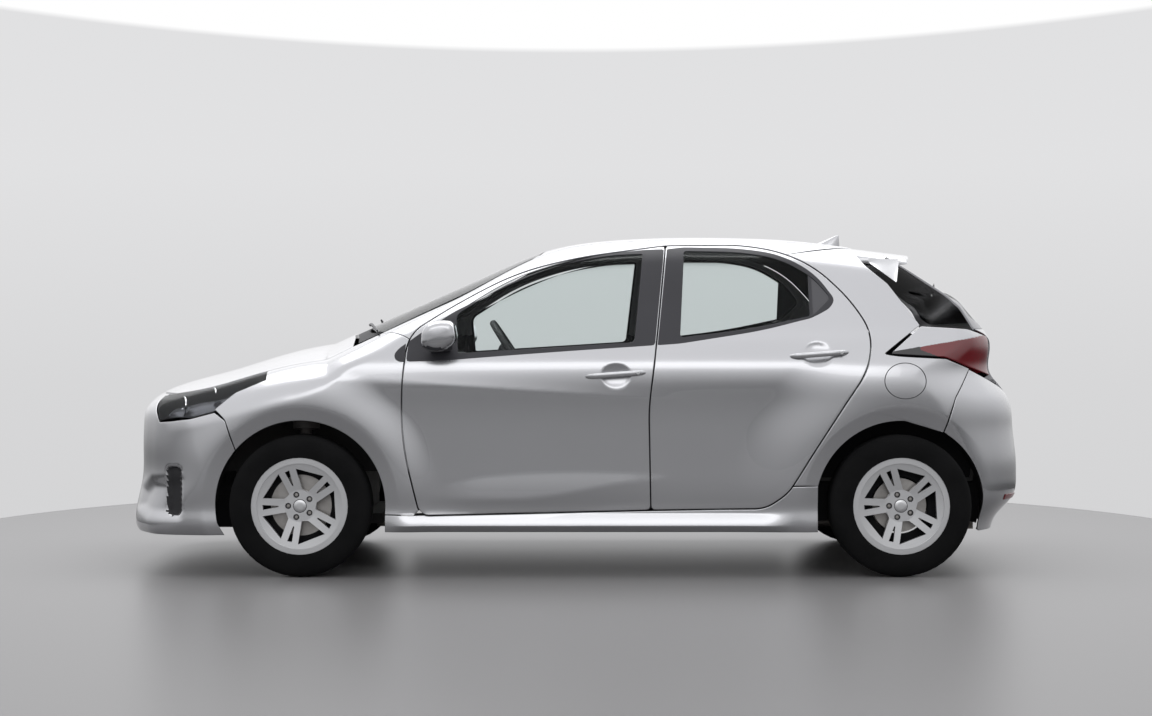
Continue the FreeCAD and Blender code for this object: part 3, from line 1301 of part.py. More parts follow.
def pair(name, low, high):
    """The same box on both sides; low and high give the right one."""
    left = bound_box(name + "L", (low[0], -high[1], low[2]), (high[0], -low[1], high[2]))
    return [left, bound_box(name + "R", low, high)]


# front structure: rails, aprons with strut towers, and the beam behind the bumper
wall_x = station(1.146) - d.seam
rails = pair("Rail", (station(.16), d.half_width * .47, level(1.30)),
             (wall_x, d.half_width * .55, level(1.42)))
aprons = pair("Apron", (station(.45), d.half_width * .55, level(1.30)),
              (wall_x, d.half_width * .562, level(1.70)))
towers = pair("Tower",
              (X_FRONT - d.spring_radius * 1.3, d.half_width * .56, d.strut_top_height + d.shut_gap * 2),
              (X_FRONT + d.spring_radius * 1.3, d.strut_top_side + d.spring_radius * 1.2,
               d.strut_top_height + d.shut_gap * 2 + d.floor_depth))
front_beam = bound_box("FrontBeam", (station(.125), -d.half_width * .60, level(1.30)),
                       (station(.165), d.half_width * .60, level(1.44)))
bound_fuse("front_structure", rails + aprons + towers + [front_beam])

# subframe with the two lower arms that reach the ball joints
subframe = bound_box("SubPlate", (station(.93), -d.half_width * .42, sub_low),
                     (station(1.12), d.half_width * .42, sub_top))
arm_reach = d.ball_joint_side - d.strut_radius * 1.7
arms = pair("Arm", (X_FRONT - d.strut_radius, d.half_width * .40, sub_low),
            (X_FRONT + d.strut_radius, arm_reach, sub_low + d.disc_depth))
bound_fuse("front_subframe", [subframe] + arms)

# rear axle: two trailing arms on a cross beam, with a stub at each wheel and a spring pan
beam_x = station(1.86)
axle_in = d.track_half - d.tyre_width / 2 - d.rim_wall * 6
cross = bound_box("CrossBeam", (beam_x, -axle_in, level(1.05)),
                  (beam_x + d.spring_radius, axle_in, level(1.15)))
trailing = pair("Trailing", (beam_x - d.spring_radius * 2, axle_in - d.spring_radius, level(1.05)),
                (X_REAR + d.hub_radius, axle_in, level(1.19)))
stub_end = hub_side(d) - d.drum_depth - d.axle_gap
stubs = []
for tag, low_y in (("L", -stub_end), ("R", axle_in - d.rim_wall)):
    stubs.append(bound_cylinder("Stub" + tag, (X_REAR, low_y, d.tyre_radius), "y",
                                stub_end - axle_in + d.rim_wall, d.hub_radius * .6))
boot_under = level(BOOT_FLOOR_SHARE) - d.seam
pivots = pair("Pivot", (beam_x - d.spring_radius * 2, axle_in - d.spring_radius, level(1.12)),
              (beam_x - d.spring_radius, axle_in, boot_under))
springs = []
for tag, side in (("L", -1), ("R", 1)):
    spring_foot = (X_REAR - d.spring_radius * 2, (axle_in - d.spring_radius) * side, level(1.12))
    springs.append(bound_cylinder("Spring" + tag, spring_foot, "z", boot_under - level(1.12),
                                  d.spring_radius * .9))
bound_fuse("rear_axle_beam", [cross] + trailing + pivots + springs + stubs)

# fuel tank, exhaust and rear dampers
tank = block("fuel_tank", (station(1.66), -d.half_width * .50, level(1.0)),
             (station(1.83), d.half_width * .50, level(FLOOR_SHARE) - d.seam))
placed_body(tank, 0, 0, 0)
silencer = bound_box("Silencer", (station(2.30), -d.half_width * .62, level(.95)),
                     (station(2.62), d.half_width * .05, boot_under))
pipe_start = (station(1.10), -d.half_width * .06, level(1.0) - d.column_radius - d.seam)
pipe = bound_cylinder("Pipe", pipe_start, "x", station(2.32) - station(1.10), d.column_radius)
bound_fuse("exhaust", [silencer, pipe])

# cabin
dash = side_view_body("dashboard", [(station(1.160), level(1.75)), (station(1.160), level(1.915)),
                                    (station(1.24), level(1.95)), (station(1.31), level(1.90)),
                                    (station(1.33), level(1.70)), (station(1.25), level(1.45)),
                                    (station(1.20), level(1.45))], d.floor_half_width * .97)
placed_body(dash, 0, 0, 0)
SEAT_SHARES = [(1.42, 1.35), (1.44, 1.52), (1.62, 1.46), (1.70, 1.99), (1.75, 1.97), (1.69, 1.35),
               (1.60, 1.28)]
seat_points = [(station(s), level(l)) for s, l in SEAT_SHARES]
seats = []
seat_half = d.half_width * .28
for tag, low_y in (("left", -d.steer_side - seat_half), ("right", d.steer_side - seat_half)):
    body = new_body("front_seat_" + tag)
    sketch = new_sketch(body, "XZ_Plane", "front_seat_side_" + tag)
    draw_outline(sketch, seat_points)
    pad(body, sketch, d.half_width * .56)
    body.setExpression("Placement.Base.y", text_of(low_y + d.half_width * .56))
    seats.append(body)
front_seats = doc.addObject("Part::Compound", "front_seats")
front_seats.Label = "front_seats"
front_seats.Links = seats
nodes.append(front_seats)
rear_seat = side_view_body("rear_seat", [(station(1.757), level(1.29)), (station(1.757), level(1.50)),
                                         (station(1.93), level(1.44)), (station(2.00), level(1.99)),
                                         (station(2.07), level(1.97)), (station(2.0), level(1.29))],
                           d.half_width * .70)
placed_body(rear_seat, 0, 0, 0)

# mirrors: a housing on the front corner of each front window
MIRROR_SHARES = [(1.205, 1.985, .6), (1.210, 2.16, 1), (1.232, 2.215, .9), (1.258, 2.205, .8),
                 (1.262, 2.03, .8), (1.235, 1.955, 1)]
MIRROR_FOOT_SHARES = [(1.212, 1.965, .6), (1.220, 2.03, .6), (1.252, 2.03, .6), (1.258, 1.962, .6)]
mirror = prism(side_outline(MIRROR_SHARES), "xz", -k.half_width * 1.15, -k.half_width * .985)
foot = prism(side_outline(MIRROR_FOOT_SHARES), "xz", -k.half_width * 1.02, -k.half_width * .90)
mirror = biggest(mirror.fuse(foot).cut(slab(front_door_face, INTO_SIDE, -k.seam * 1.2, k.door_depth)))
keep("mirror_left", mirror)
keep("mirror_right", mirrored(mirror))
doc.recompute()
# checks and files
doc.recompute()
for thing in doc.Objects:
    if "Invalid" in thing.State or "Error" in thing.State:
        raise RuntimeError(f"{thing.Label} failed: {thing.State}")
os.makedirs("parts", exist_ok=True)
for node in nodes:
    if node.Shape.isNull() or not node.Shape.isValid():
        raise RuntimeError(f"{node.Label} has no valid shape")
    node.Shape.exportStep(f"parts/{node.Label}.step")
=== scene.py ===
import bpy
import math
import numpy as np
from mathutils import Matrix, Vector


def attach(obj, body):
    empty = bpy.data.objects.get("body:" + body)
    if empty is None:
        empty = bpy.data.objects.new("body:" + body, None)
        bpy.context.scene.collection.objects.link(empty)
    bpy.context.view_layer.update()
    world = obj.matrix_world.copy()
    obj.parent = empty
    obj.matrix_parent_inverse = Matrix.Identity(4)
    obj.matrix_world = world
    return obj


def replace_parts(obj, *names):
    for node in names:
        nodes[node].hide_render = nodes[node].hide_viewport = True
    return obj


# A silver five-door hatchback. The frame is in metres; the form below is worked in millimetres.
# X runs from nose to tail, Y to the car's right, Z up. The left side is -Y.
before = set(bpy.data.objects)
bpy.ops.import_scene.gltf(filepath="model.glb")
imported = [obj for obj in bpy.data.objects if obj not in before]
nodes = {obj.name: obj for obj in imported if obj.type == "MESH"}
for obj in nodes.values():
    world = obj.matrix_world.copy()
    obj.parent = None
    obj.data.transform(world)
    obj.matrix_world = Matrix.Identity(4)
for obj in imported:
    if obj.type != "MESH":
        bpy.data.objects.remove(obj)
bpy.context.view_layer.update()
MM = 0.001

# main sizes of the body
FRONT_OVERHANG, WHEELBASE, REAR_OVERHANG = 794.0, 2560.0, 586.0
SILL, BELT, ROOF = 187.0, 990.0, 1473.0
HALF = 849.0
FLARE_OUT, FLARE_REACH, HAUNCH_REACH = 24.0, 190.0, 320.0
ARCH_RIDGE, ARCH_OPENING, ARCH_LIP = 420.0, 363.0, 12.0
HOOD_CROWN, SCREEN_CROWN, ROOF_CROWN = 70.0, 62.0, 24.0
SCREEN_HALF = 620.0
FENDER_ROUND, PILLAR_ROUND, RAIL_ROUND, TAIL_ROUND, NOSE_ROUND = 110.0, 50.0, 90.0, 60.0, 70.0
TYRE_RADIUS, TRACK_HALF = 302.0, 765.0
GAP = 5.0

LENGTH = FRONT_OVERHANG + WHEELBASE + REAR_OVERHANG
STATIONS = np.array([-LENGTH / 2, -LENGTH / 2 + FRONT_OVERHANG, LENGTH / 2 - REAR_OVERHANG, LENGTH / 2])
LEVELS = np.array([0.0, SILL, BELT, ROOF])
X_FRONT, X_REAR = STATIONS[1], STATIONS[2]


def along(marks, share):
    """The length at a share that counts one from each mark to the next, straight on past the ends."""
    first = np.clip(np.floor(share), 0, len(marks) - 2).astype(int)
    return marks[first] + (marks[first + 1] - marks[first]) * (share - first)


def x_at(station):
    """The X of a station: 0 nose, 1 front axle, 2 rear axle, 3 tail."""
    return along(STATIONS, np.asarray(station, float))


def z_at(level):
    """The Z of a level: 0 ground, 1 sill, 2 belt, 3 roof."""
    return along(LEVELS, np.asarray(level, float))


def smooth(places, values):
    """A natural cubic through (place, value) pairs, straight past its ends.

    The bends at the inner places solve one set of linear equations that keeps the slope even."""
    xs, ys = np.asarray(places, float), np.asarray(values, float)
    n = len(xs)
    w = np.diff(xs)
    system = np.eye(n)
    right = np.zeros(n)
    inner = np.arange(1, n - 1)
    system[inner, inner - 1] = w[:-1]
    system[inner, inner] = 2 * (w[:-1] + w[1:])
    system[inner, inner + 1] = w[1:]
    slope = np.diff(ys) / w
    right[inner] = 6 * np.diff(slope)
    bend = np.linalg.solve(system, right)
    start = slope[0] - w[0] * bend[1] / 6
    finish = slope[-1] + w[-1] * bend[-2] / 6

    def value(x):
        x = np.asarray(x, float)
        i = np.clip(np.searchsorted(xs, x) - 1, 0, n - 2)
        a = (xs[i + 1] - x) / w[i]
        b = 1 - a
        mid = a * ys[i] + b * ys[i + 1] + ((a ** 3 - a) * bend[i] + (b ** 3 - b) * bend[i + 1]) * w[i] ** 2 / 6
        return np.where(x < xs[0], ys[0] + start * (x - xs[0]),
                        np.where(x > xs[-1], ys[-1] + finish * (x - xs[-1]), mid))

    return value


def table(shares, place, value):
    """A smooth curve from a table of shares, each column turned into lengths."""
    columns = np.array(shares, float).T
    return smooth(place(columns[0]), value(columns[1]))


def fade(share):
    """Falls smoothly from 1 at share 0 to 0 at share 1."""
    t = np.clip(share, 0, 1)
    return 1 - t * t * (3 - 2 * t)


def ease(x, first, last):
    """Rises smoothly from 0 at first to 1 at last."""
    return 1 - fade((x - first) / (last - first))


def round_max(a, b, radius):
    """The larger of two distances, with the corner between them rounded."""
    both = (a + radius > 0) & (b + radius > 0)
    return np.where(both, np.hypot(a + radius, b + radius) - radius, np.maximum(a, b))


SECTION_SHARES = [(0.94, .958), (1.04, .971), (1.12, .969), (1.18, .973), (1.33, .981),
                  (1.51, .987), (1.70, .995), (1.84, 1.0), (1.91, .989), (2.0, .950),
                  (2.12, .922), (2.43, .842), (2.83, .724), (2.95, .677)]
PLAN_SHARES = [(0.0, .960), (0.5, .975), (1.0, .985), (1.2, .995), (1.5, 1.0), (1.8, .998),
               (2.1, .985), (2.5, .960), (3.0, .925)]
NOSE_SHARES = [(0.80, .057), (1.00, .010), (1.05, .0), (1.14, .013), (1.27, .040), (1.43, .044),
               (1.58, .048), (1.64, .057), (1.70, .088), (1.75, .138), (1.80, .23)]
NOSE_PLAN_SHARES = [(0.0, .0), (.35, .004), (.59, .033), (.71, .070), (.82, .134), (.94, .270),
                    (1.0, .440), (1.06, .70)]
TAIL_SHARES = [(0.9, .20), (1.07, .154), (1.16, .043), (1.28, .005), (1.38, .008), (1.56, .034),
               (1.72, .077), (1.80, .160), (1.85, .205), (1.92, .212), (2.08, .222), (2.15, .265)]
TAIL_PLAN_SHARES = [(0.0, .0), (.35, .009), (.59, .043), (.71, .087), (.82, .180), (.94, .400),
                    (1.0, .640), (1.06, 1.0)]
HOOD_SHARES = [(0.05, 1.700), (0.09, 1.722), (0.30, 1.800), (0.53, 1.861), (0.73, 1.922),
               (0.96, 1.981), (1.03, 2.006), (1.07, 2.033), (1.20, 2.10)]
ROOF_SHARES = [(1.03, 2.010), (1.069, 2.1035), (1.217, 2.4555), (1.294, 2.635), (1.37, 2.812),
               (1.41, 2.884), (1.459, 2.938), (1.512, 2.970), (1.637, 3.0), (1.742, 2.996),
               (1.846, 2.967), (1.932, 2.911), (2.00, 2.866), (2.229, 2.832)]
REAR_GLASS_SHARES = [(2.138, 2.702), (2.635, 2.306)]


def half_of(w):
    """A share of the half width as a length."""
    return HALF * w


section = table(SECTION_SHARES, z_at, half_of)
plan = table(PLAN_SHARES, x_at, lambda w: w)
nose = table(NOSE_SHARES, z_at, lambda w: STATIONS[0] + FRONT_OVERHANG * w)
nose_plan = table(NOSE_PLAN_SHARES, half_of, lambda w: FRONT_OVERHANG * w)
tail = table(TAIL_SHARES, z_at, lambda w: STATIONS[3] - REAR_OVERHANG * w)
tail_plan = table(TAIL_PLAN_SHARES, half_of, lambda w: REAR_OVERHANG * w)
hood_line = table(HOOD_SHARES, x_at, z_at)
roof_line = table(ROOF_SHARES, x_at, z_at)
(GLASS_S0, GLASS_L0), (GLASS_S1, GLASS_L1) = REAR_GLASS_SHARES
GLASS_SLOPE = (z_at(GLASS_L1) - z_at(GLASS_L0)) / (x_at(GLASS_S1) - x_at(GLASS_S0))
NO_FLARE_SHARE = 0.35
FOOT_SHARE = 0.06
HALVINGS = 15


def flare(x, z):
    """How far the wheel arches swell the side: a ring that rises to a ridge and turns in to its lip."""
    out = np.zeros(np.broadcast(x, z).shape)
    for centre, reach in ((X_FRONT, FLARE_REACH), (X_REAR, HAUNCH_REACH)):
        r = np.hypot(x - centre, z - TYRE_RADIUS)
        outside = FLARE_OUT * fade((r - ARCH_RIDGE) / reach)
        inside = FLARE_OUT - ARCH_LIP * (ARCH_RIDGE - r) / (ARCH_RIDGE - ARCH_OPENING)
        out = np.maximum(out, np.where(r >= ARCH_RIDGE, outside, inside))
    return out * fade((z - BELT * (1 - NO_FLARE_SHARE / 2)) / (BELT * NO_FLARE_SHARE))


def half_width_at(x, z):
    """Half width of the side: the section by height, scaled along the car, with the arches added."""
    return section(z) * plan(x) + flare(x, z) + relief(x, z)


def crown(x, y):
    """How far the screen and roof fall away from their middle line: a power of the distance out."""
    share = fade((x - x_at(1.25)) / (x_at(1.5) - x_at(1.25)))
    return (ROOF_CROWN + (SCREEN_CROWN - ROOF_CROWN) * share) * (np.abs(y) / SCREEN_HALF) ** 2.2


def top_at(x, y):
    """Height of the top of the body over a place on the ground plan."""
    bonnet = hood_line(x) - HOOD_CROWN * (np.abs(y) / (HALF * .81)) ** 2.2
    upper = roof_line(x) - crown(x, y)
    rear = z_at(GLASS_L0) + GLASS_SLOPE * (x - x_at(GLASS_S0)) - ROOF_CROWN * (np.abs(y) / SCREEN_HALF) ** 2
    return np.where(x > x_at(1.0), np.maximum(bonnet, np.minimum(upper, rear)), bonnet)


def shoulder_at(x, z):
    """Radius of the edge between side and top at this place."""
    low = fade((z - BELT) / (ROOF - BELT) * 6)
    front = fade((x - x_at(1.2)) / (x_at(1.45) - x_at(1.2)))
    high = PILLAR_ROUND * front + RAIL_ROUND * (1 - front)
    return high + (FENDER_ROUND - high) * low * fade((x - x_at(.95)) / (x_at(1.1) - x_at(.95)))


def body_gap(x, y, z):
    """Below zero inside the closed outer form, above zero outside it."""
    z_side = np.maximum(z, SILL * (1 - FOOT_SHARE))
    gap = round_max(np.abs(y) - half_width_at(x, z_side), (z - top_at(x, y)) * .9, shoulder_at(x, z))
    front = nose(z_side) + nose_plan(np.abs(y)) - x
    gap = np.where(x < X_FRONT * .5, round_max(gap, front, NOSE_ROUND * .5), gap)
    back = x - tail(z_side) + tail_plan(np.abs(y))
    return np.where(x > X_REAR * .5, round_max(gap, back, TAIL_ROUND * .5), gap)


def cast(start, way, reach=400.0, steps=14):
    """The points where rays from outside first meet the outer form.

    Every ray takes even steps until it is inside, then the last step is halved again and again."""
    start, way = np.broadcast_arrays(np.asarray(start, float), np.asarray(way, float))
    way = way / np.linalg.norm(way, axis=-1, keepdims=True)

    def gap(t):
        p = start + way * t[..., None]
        return body_gap(p[..., 0], p[..., 1], p[..., 2])

    low = np.zeros(start.shape[:-1])
    high = np.full(low.shape, reach)
    out = np.ones(low.shape, bool)
    for t in np.linspace(0, reach, steps + 1)[1:]:
        inside = out & (gap(np.full(low.shape, t)) <= 0)
        high = np.where(inside, t, high)
        out &= ~inside
        low = np.where(out, t, low)
    for _ in range(HALVINGS):
        mid = (low + high) / 2
        outside = gap(mid) > 0
        low, high = np.where(outside, mid, low), np.where(outside, high, mid)
    return start + way * high[..., None]


def viewed(order, away, way, reach, steps):
    """Makes the function that finds the body surface at places (a, b) of one view.

    order says which of a, b and the starting distance away is x, which is y and which is z."""
    def find(a, b):
        a, b = np.broadcast_arrays(np.asarray(a, float), np.asarray(b, float))
        parts = a, b, np.full(a.shape, away)
        return cast(np.stack([parts[i] for i in order], -1), way, reach, steps)

    return find


on_side = viewed((0, 2, 1), -HALF * 1.2, (0, 1, 0), HALF * 1.1, 28)
on_top = viewed((0, 1, 2), ROOF * 1.05, (0, 0, -1), ROOF, 36)
on_front = viewed((2, 0, 1), STATIONS[0] - 60, (1, 0, 0), 900.0, 32)
on_nose = viewed((2, 0, 1), STATIONS[0] - 60, (1, 0, 0), 700.0, 60)
on_back = viewed((2, 0, 1), STATIONS[3] + 80, (-1, 0, 0), 1000.0, 32)


def spread(view, flat):
    """The surface points of one view at the places of a flat line or grid."""
    return view(flat[..., 0], flat[..., 1])


def normals_at(p):
    """Outward directions of the form: the slope of its gap, taken over two millimetres each way."""
    reach = 2.0
    slope = np.stack([body_gap(*np.moveaxis(p + reach * axis, -1, 0)) - body_gap(*np.moveaxis(p - reach * axis, -1, 0))
                      for axis in np.eye(3)], -1)
    return slope / np.maximum(np.linalg.norm(slope, axis=-1, keepdims=True), 1e-9)


# lines of the body side, as (station, level)
LINE_SHARES = [(.80, 1.800), (1.0, 1.812), (1.134, 1.806), (1.35, 1.765), (1.58, 1.717), (1.80, 1.69)]
LENS_TOP_SHARES = [(1.205, 1.219), (1.285, 1.288), (1.350, 1.311), (1.494, 1.323), (1.581, 1.311), (1.624, 1.300)]
LENS_FOOT_SHARES = [(1.205, 1.18), (1.307, 1.179), (1.386, 1.185), (1.458, 1.219), (1.530, 1.261), (1.581, 1.282),
                    (1.624, 1.300)]
line_height = table(LINE_SHARES, x_at, z_at)
lens_top = table(LENS_TOP_SHARES, x_at, z_at)
lens_foot = table(LENS_FOOT_SHARES, x_at, z_at)
LINE_DEPTH, LINE_LEAN = 9.0, .16
LENS_LEAN = .075
SILL_OUT, SILL_TOP, SILL_EDGE = 17.0, 270.0, 217.0
CUPS, CUP_DEPTH, CUP_HALF = ((170.0, 858.0), (1030.0, 949.0)), 13.0, (64.0, 51.0)


def relief(x, z):
    """What the side's pressed lines add to its width.

    Above the character line the side leans in, quickly at first; a lens on the lower doors leans out to a
    crease; the sill swells out to its edge below the doors."""
    over = np.maximum(z - line_height(x), 0)
    strength = fade((x - x_at(1.25)) / (x_at(1.75) - x_at(1.25)))
    out = -LINE_DEPTH * strength * (1 - np.exp(-over * LINE_LEAN / LINE_DEPTH)) * ease(x, x_at(.55), x_at(.8))
    top, foot = lens_top(x), np.minimum(lens_foot(x), lens_top(x))
    rise = LENS_LEAN * (top - foot)
    t = np.clip((top - z) / np.maximum(top - foot, 1e-6), 0, 1)
    fall = np.clip((z - foot + 90) / 90, 0, 1)
    window = ease(x, x_at(1.19), x_at(1.30)) * fade((x - x_at(1.60)) / (x_at(1.624) - x_at(1.60)))
    out = out + np.where(z >= foot, rise * t, rise * fall) * window
    run = ease(x, x_at(1.145), x_at(1.185)) * fade((x - x_at(1.77)) / (x_at(1.83) - x_at(1.77)))
    ledge = np.where(z > SILL_EDGE, np.clip((SILL_TOP - z) / (SILL_TOP - SILL_EDGE), 0, 1),
                     1 - .5 * np.clip((SILL_EDGE - z) / 30, 0, 1))
    for cx, cz in CUPS:
        out = out - CUP_DEPTH * np.maximum(1 - ((x - cx) / CUP_HALF[0]) ** 2 - ((z - cz) / CUP_HALF[1]) ** 2, 0) ** .8
    return out + SILL_OUT * ledge * run


# outlines and grids

ARC_PITCH = 9.0


def rounded(corners, grow=0.0):
    """A closed line round (a, b, round) corners, grown outwards by grow.

    Each side moves out along its normal, sides meet where they cross, and each corner becomes an arc
    whose radius is a share of the largest that fits its two sides."""
    points = np.array(corners, float)
    a, b = points[:, 0], points[:, 1]
    if np.sum(np.roll(a, 1) * b - a * np.roll(b, 1)) < 0:
        points = points[::-1]
    p, share = points[:, :2], points[:, 2]
    side = np.roll(p, -1, 0) - p
    length = np.linalg.norm(side, axis=1, keepdims=True)
    u = side / length
    base = p + np.stack([u[:, 1], -u[:, 0]], 1) * grow
    before, ub = np.roll(base, 1, 0), np.roll(u, 1, 0)
    cross = ub[:, 0] * u[:, 1] - ub[:, 1] * u[:, 0]
    gap = base - before
    t = (gap[:, 0] * u[:, 1] - gap[:, 1] * u[:, 0]) / np.where(np.abs(cross) < 1e-9, 1, cross)
    corner = np.where(np.abs(cross)[:, None] < 1e-9, base, before + ub * t[:, None])
    angle = np.abs(np.arctan2(cross, np.sum(ub * u, 1)))
    room = .499 * np.minimum(np.roll(length[:, 0], 1), length[:, 0])
    radius = share * room / np.tan(np.maximum(angle, 1e-4) / 2) + np.where(cross > 0, grow, -grow)
    reach = np.linalg.norm(np.roll(corner, -1, 0) - corner, axis=1)
    cut = np.minimum(np.maximum(radius, 0) * np.tan(angle / 2), .499 * np.minimum(np.roll(reach, 1), reach))
    line = []
    for i in range(len(p)):
        if cut[i] < .01 or angle[i] < 1e-4:
            line.append(corner[i][None])
            continue
        r = cut[i] / np.tan(angle[i] / 2)
        sign = 1 if cross[i] > 0 else -1
        start = corner[i] - ub[i] * cut[i]
        centre = start + np.array([-ub[i][1], ub[i][0]]) * r * sign
        turn = np.linspace(0, angle[i] * sign, max(int(r * angle[i] / ARC_PITCH) + 2, 5))
        arm = start - centre
        line.append(centre + np.stack([arm[0] * np.cos(turn) - arm[1] * np.sin(turn),
                                       arm[0] * np.sin(turn) + arm[1] * np.cos(turn)], 1))
    return np.concatenate(line)


def side_line(shares, grow=0.0):
    """A closed line in the side view from (station, level, round) corners."""
    table_of = np.array(shares, float)
    return rounded(np.stack([x_at(table_of[:, 0]), z_at(table_of[:, 1]), table_of[:, 2]], 1), grow)


def plan_line(shares, grow=0.0):
    """A closed line in the ground plan, the same on both sides, from (station, share of half width, round)."""
    half = np.array(shares, float)
    right = np.stack([x_at(half[:, 0]), half[:, 1] * HALF, half[:, 2]], 1)
    left = right[::-1] * (1, -1, 1)
    return rounded(np.concatenate([right, left[left[:, 1] < 0]]), grow)


def share_points(shares):
    """Side view points from (station, level)."""
    table_of = np.array(shares, float)
    return np.stack([x_at(table_of[:, 0]), z_at(table_of[:, 1])], 1)


def piece_of(line, start, finish, shorter=True):
    """The stretch of a closed line between the places nearest to two points."""
    dense = evenly(np.concatenate([line, line[:1]]), 1200)[:-1]
    i = int(np.argmin(np.linalg.norm(dense - start, axis=1)))
    j = int(np.argmin(np.linalg.norm(dense - finish, axis=1)))
    forward = (j - i) % len(dense)
    if (forward <= len(dense) / 2) == shorter:
        return dense[(i + np.arange(forward + 1)) % len(dense)]
    return dense[(i - np.arange(len(dense) - forward + 1)) % len(dense)]


def lengths(line):
    """Distance of each point of a line from its start, along the line."""
    return np.concatenate([[0], np.cumsum(np.linalg.norm(np.diff(line, axis=0), axis=1))])


def at_lengths(line, where):
    """Points at distances along a line."""
    run = lengths(line)
    return np.stack([np.interp(where, run, line[:, i]) for i in range(line.shape[1])], 1)


def evenly(line, count):
    """A line resampled to points at even distances."""
    return at_lengths(line, np.linspace(0, lengths(line)[-1], count))


EDGE = np.array([0, .5, 1.2, 2.1, 3.2])


def spaced(total, count):
    """Distances from 0 to total, close together at both ends for the rolled edge, even between."""
    edge = EDGE * np.minimum(1, total / 12)[..., None]
    inner = np.linspace(0, 1, count + 2)[1:-1]
    first = edge[..., -1:]
    return np.concatenate([edge, first + (total[..., None] - 2 * first) * inner,
                           total[..., None] - edge[..., ::-1]], -1)


def matched(*lines, pitch=12.0):
    """Several lines resampled to the same shares of their lengths, close together at the ends."""
    total = max(lengths(line)[-1] for line in lines)
    where = spaced(np.array(total), int(total / pitch)) / total
    return [at_lengths(line, where * lengths(line)[-1]) for line in lines]


def joined(*lines):
    """One line through several stretches, end to end."""
    return np.concatenate(lines)


def turns(count):
    """Angles once round, without the last that meets the first."""
    return np.linspace(0, 2 * math.pi, count + 1)[:-1]


HEM = 3.0
SHARP = 40


def hem(d):
    """How far an edge has rolled in at distance d from it: a quarter circle."""
    inner = np.clip(HEM - d, 0, HEM)
    return HEM - np.sqrt(HEM * HEM - inner * inner)


def build(name, verts, faces, kinds, mats, body=None, auto=None):
    """A mesh piece in the row frame: verts in millimetres, a list of face arrays, a material number each."""
    mesh = bpy.data.meshes.new(name)
    mesh.from_pydata((np.asarray(verts, float) * MM).tolist(), [], [tuple(f) for part in faces for f in part.tolist()])
    for mat in mats:
        mesh.materials.append(mat)
    if kinds is not None:
        mesh.polygons.foreach_set("material_index", np.asarray(kinds, np.int32))
    mesh.polygons.foreach_set("use_smooth", np.ones(len(mesh.polygons), bool))
    mesh.validate()
    mesh.update()
    piece = bpy.data.objects.new(name, mesh)
    bpy.context.collection.objects.link(piece)
    if auto is not None:
        sharpen(mesh, auto)
    if body:
        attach(piece, body)
    return piece


def sharpen(mesh, degrees):
    """Marks the edges sharp where two faces meet at more than an angle."""
    count = len(mesh.polygons)
    normal = np.zeros(count * 3)
    mesh.polygons.foreach_get("normal", normal)
    normal = normal.reshape(-1, 3)
    loops = np.zeros(len(mesh.loops), np.int32)
    mesh.loops.foreach_get("edge_index", loops)
    totals = np.zeros(count, np.int32)
    mesh.polygons.foreach_get("loop_total", totals)
    owner = np.repeat(np.arange(count), totals)
    order = np.argsort(loops, kind="stable")
    edge, face = loops[order], owner[order]
    pair = np.nonzero(edge[1:] == edge[:-1])[0]
    bend = np.sum(normal[face[pair]] * normal[face[pair + 1]], 1)
    sharp = np.zeros(len(mesh.edges), bool)
    sharp[edge[pair]] = bend < math.cos(math.radians(degrees))
    mesh.edges.foreach_set("use_edge_sharp", sharp)


def grid_faces(rows, columns, closed=False, start=0, flip=False):
    """Quads over a grid of rows by columns of points; closed joins the last column to the first."""
    i, j = np.meshgrid(np.arange(rows - 1), np.arange(columns if closed else columns - 1), indexing="ij")
    k = (j + 1) % columns
    quad = np.stack([i * columns + j, i * columns + k, (i + 1) * columns + k, (i + 1) * columns + j], -1).reshape(-1, 4)
    return (quad[:, ::-1] if flip else quad) + start


def closed_sheet(front, back, closed=False):
    """The faces of a closed sheet: a front grid, a back grid, and walls between their rims.

    Returns points, quads, and 0 for front, 1 for back and 2 for rim faces."""
    rows, columns = front.shape[:2]
    count = rows * columns
    points = np.concatenate([front.reshape(-1, 3), back.reshape(-1, 3)])
    ids = np.arange(count).reshape(rows, columns)
    if closed:
        rims = [ids[0], ids[-1][::-1]]
    else:
        rims = [np.concatenate([ids[0], ids[1:, -1], ids[-1, -2::-1], ids[-2:0:-1, 0]])]
    a, b = np.concatenate(rims), np.concatenate([np.roll(rim, -1) for rim in rims])
    faces = [grid_faces(rows, columns, closed), grid_faces(rows, columns, closed, count, True),
             np.stack([a, a + count, b + count, b], 1)]
    return points, np.concatenate(faces), np.repeat([0, 1, 2], [len(f) for f in faces])


def outward(points, faces):
    """The same faces, turned if their solid is inside out: its signed volume is summed over triangles."""
    a, b, c, e = (points[faces[:, i]] for i in range(4))
    volume = np.sum(a * np.cross(b, c)) + np.sum(a * np.cross(c, e))
    return faces if volume > 0 else faces[:, ::-1]


def place(name, points, faces, kinds, mats, body="body", swaps=(), both=True):
    """A piece with its faces turned outwards, or a left one and its mirror image on the right.

    A pair on a door rides on the left and the right door, any other on the one body."""
    faces = outward(points, faces)
    made = []
    for tag in ("_left", "_right") if both else ("",):
        p, f = (points * (1, -1, 1), faces[:, ::-1]) if tag == "_right" else (points, faces)
        piece = build(name + tag, p, [f], kinds, mats, body + tag if body.startswith("door") else body, SHARP)
        if swaps:
            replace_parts(piece, *[s + tag for s in swaps])
        made.append(piece)
    return made


def sheet(name, front, back, mat, body="body", closed=False, both=True):
    """A closed sheet of one material between two grids, as a piece or as a pair."""
    points, faces, _ = closed_sheet(front, back, closed)
    return place(name, points, faces, None, [mat], body, (), both)


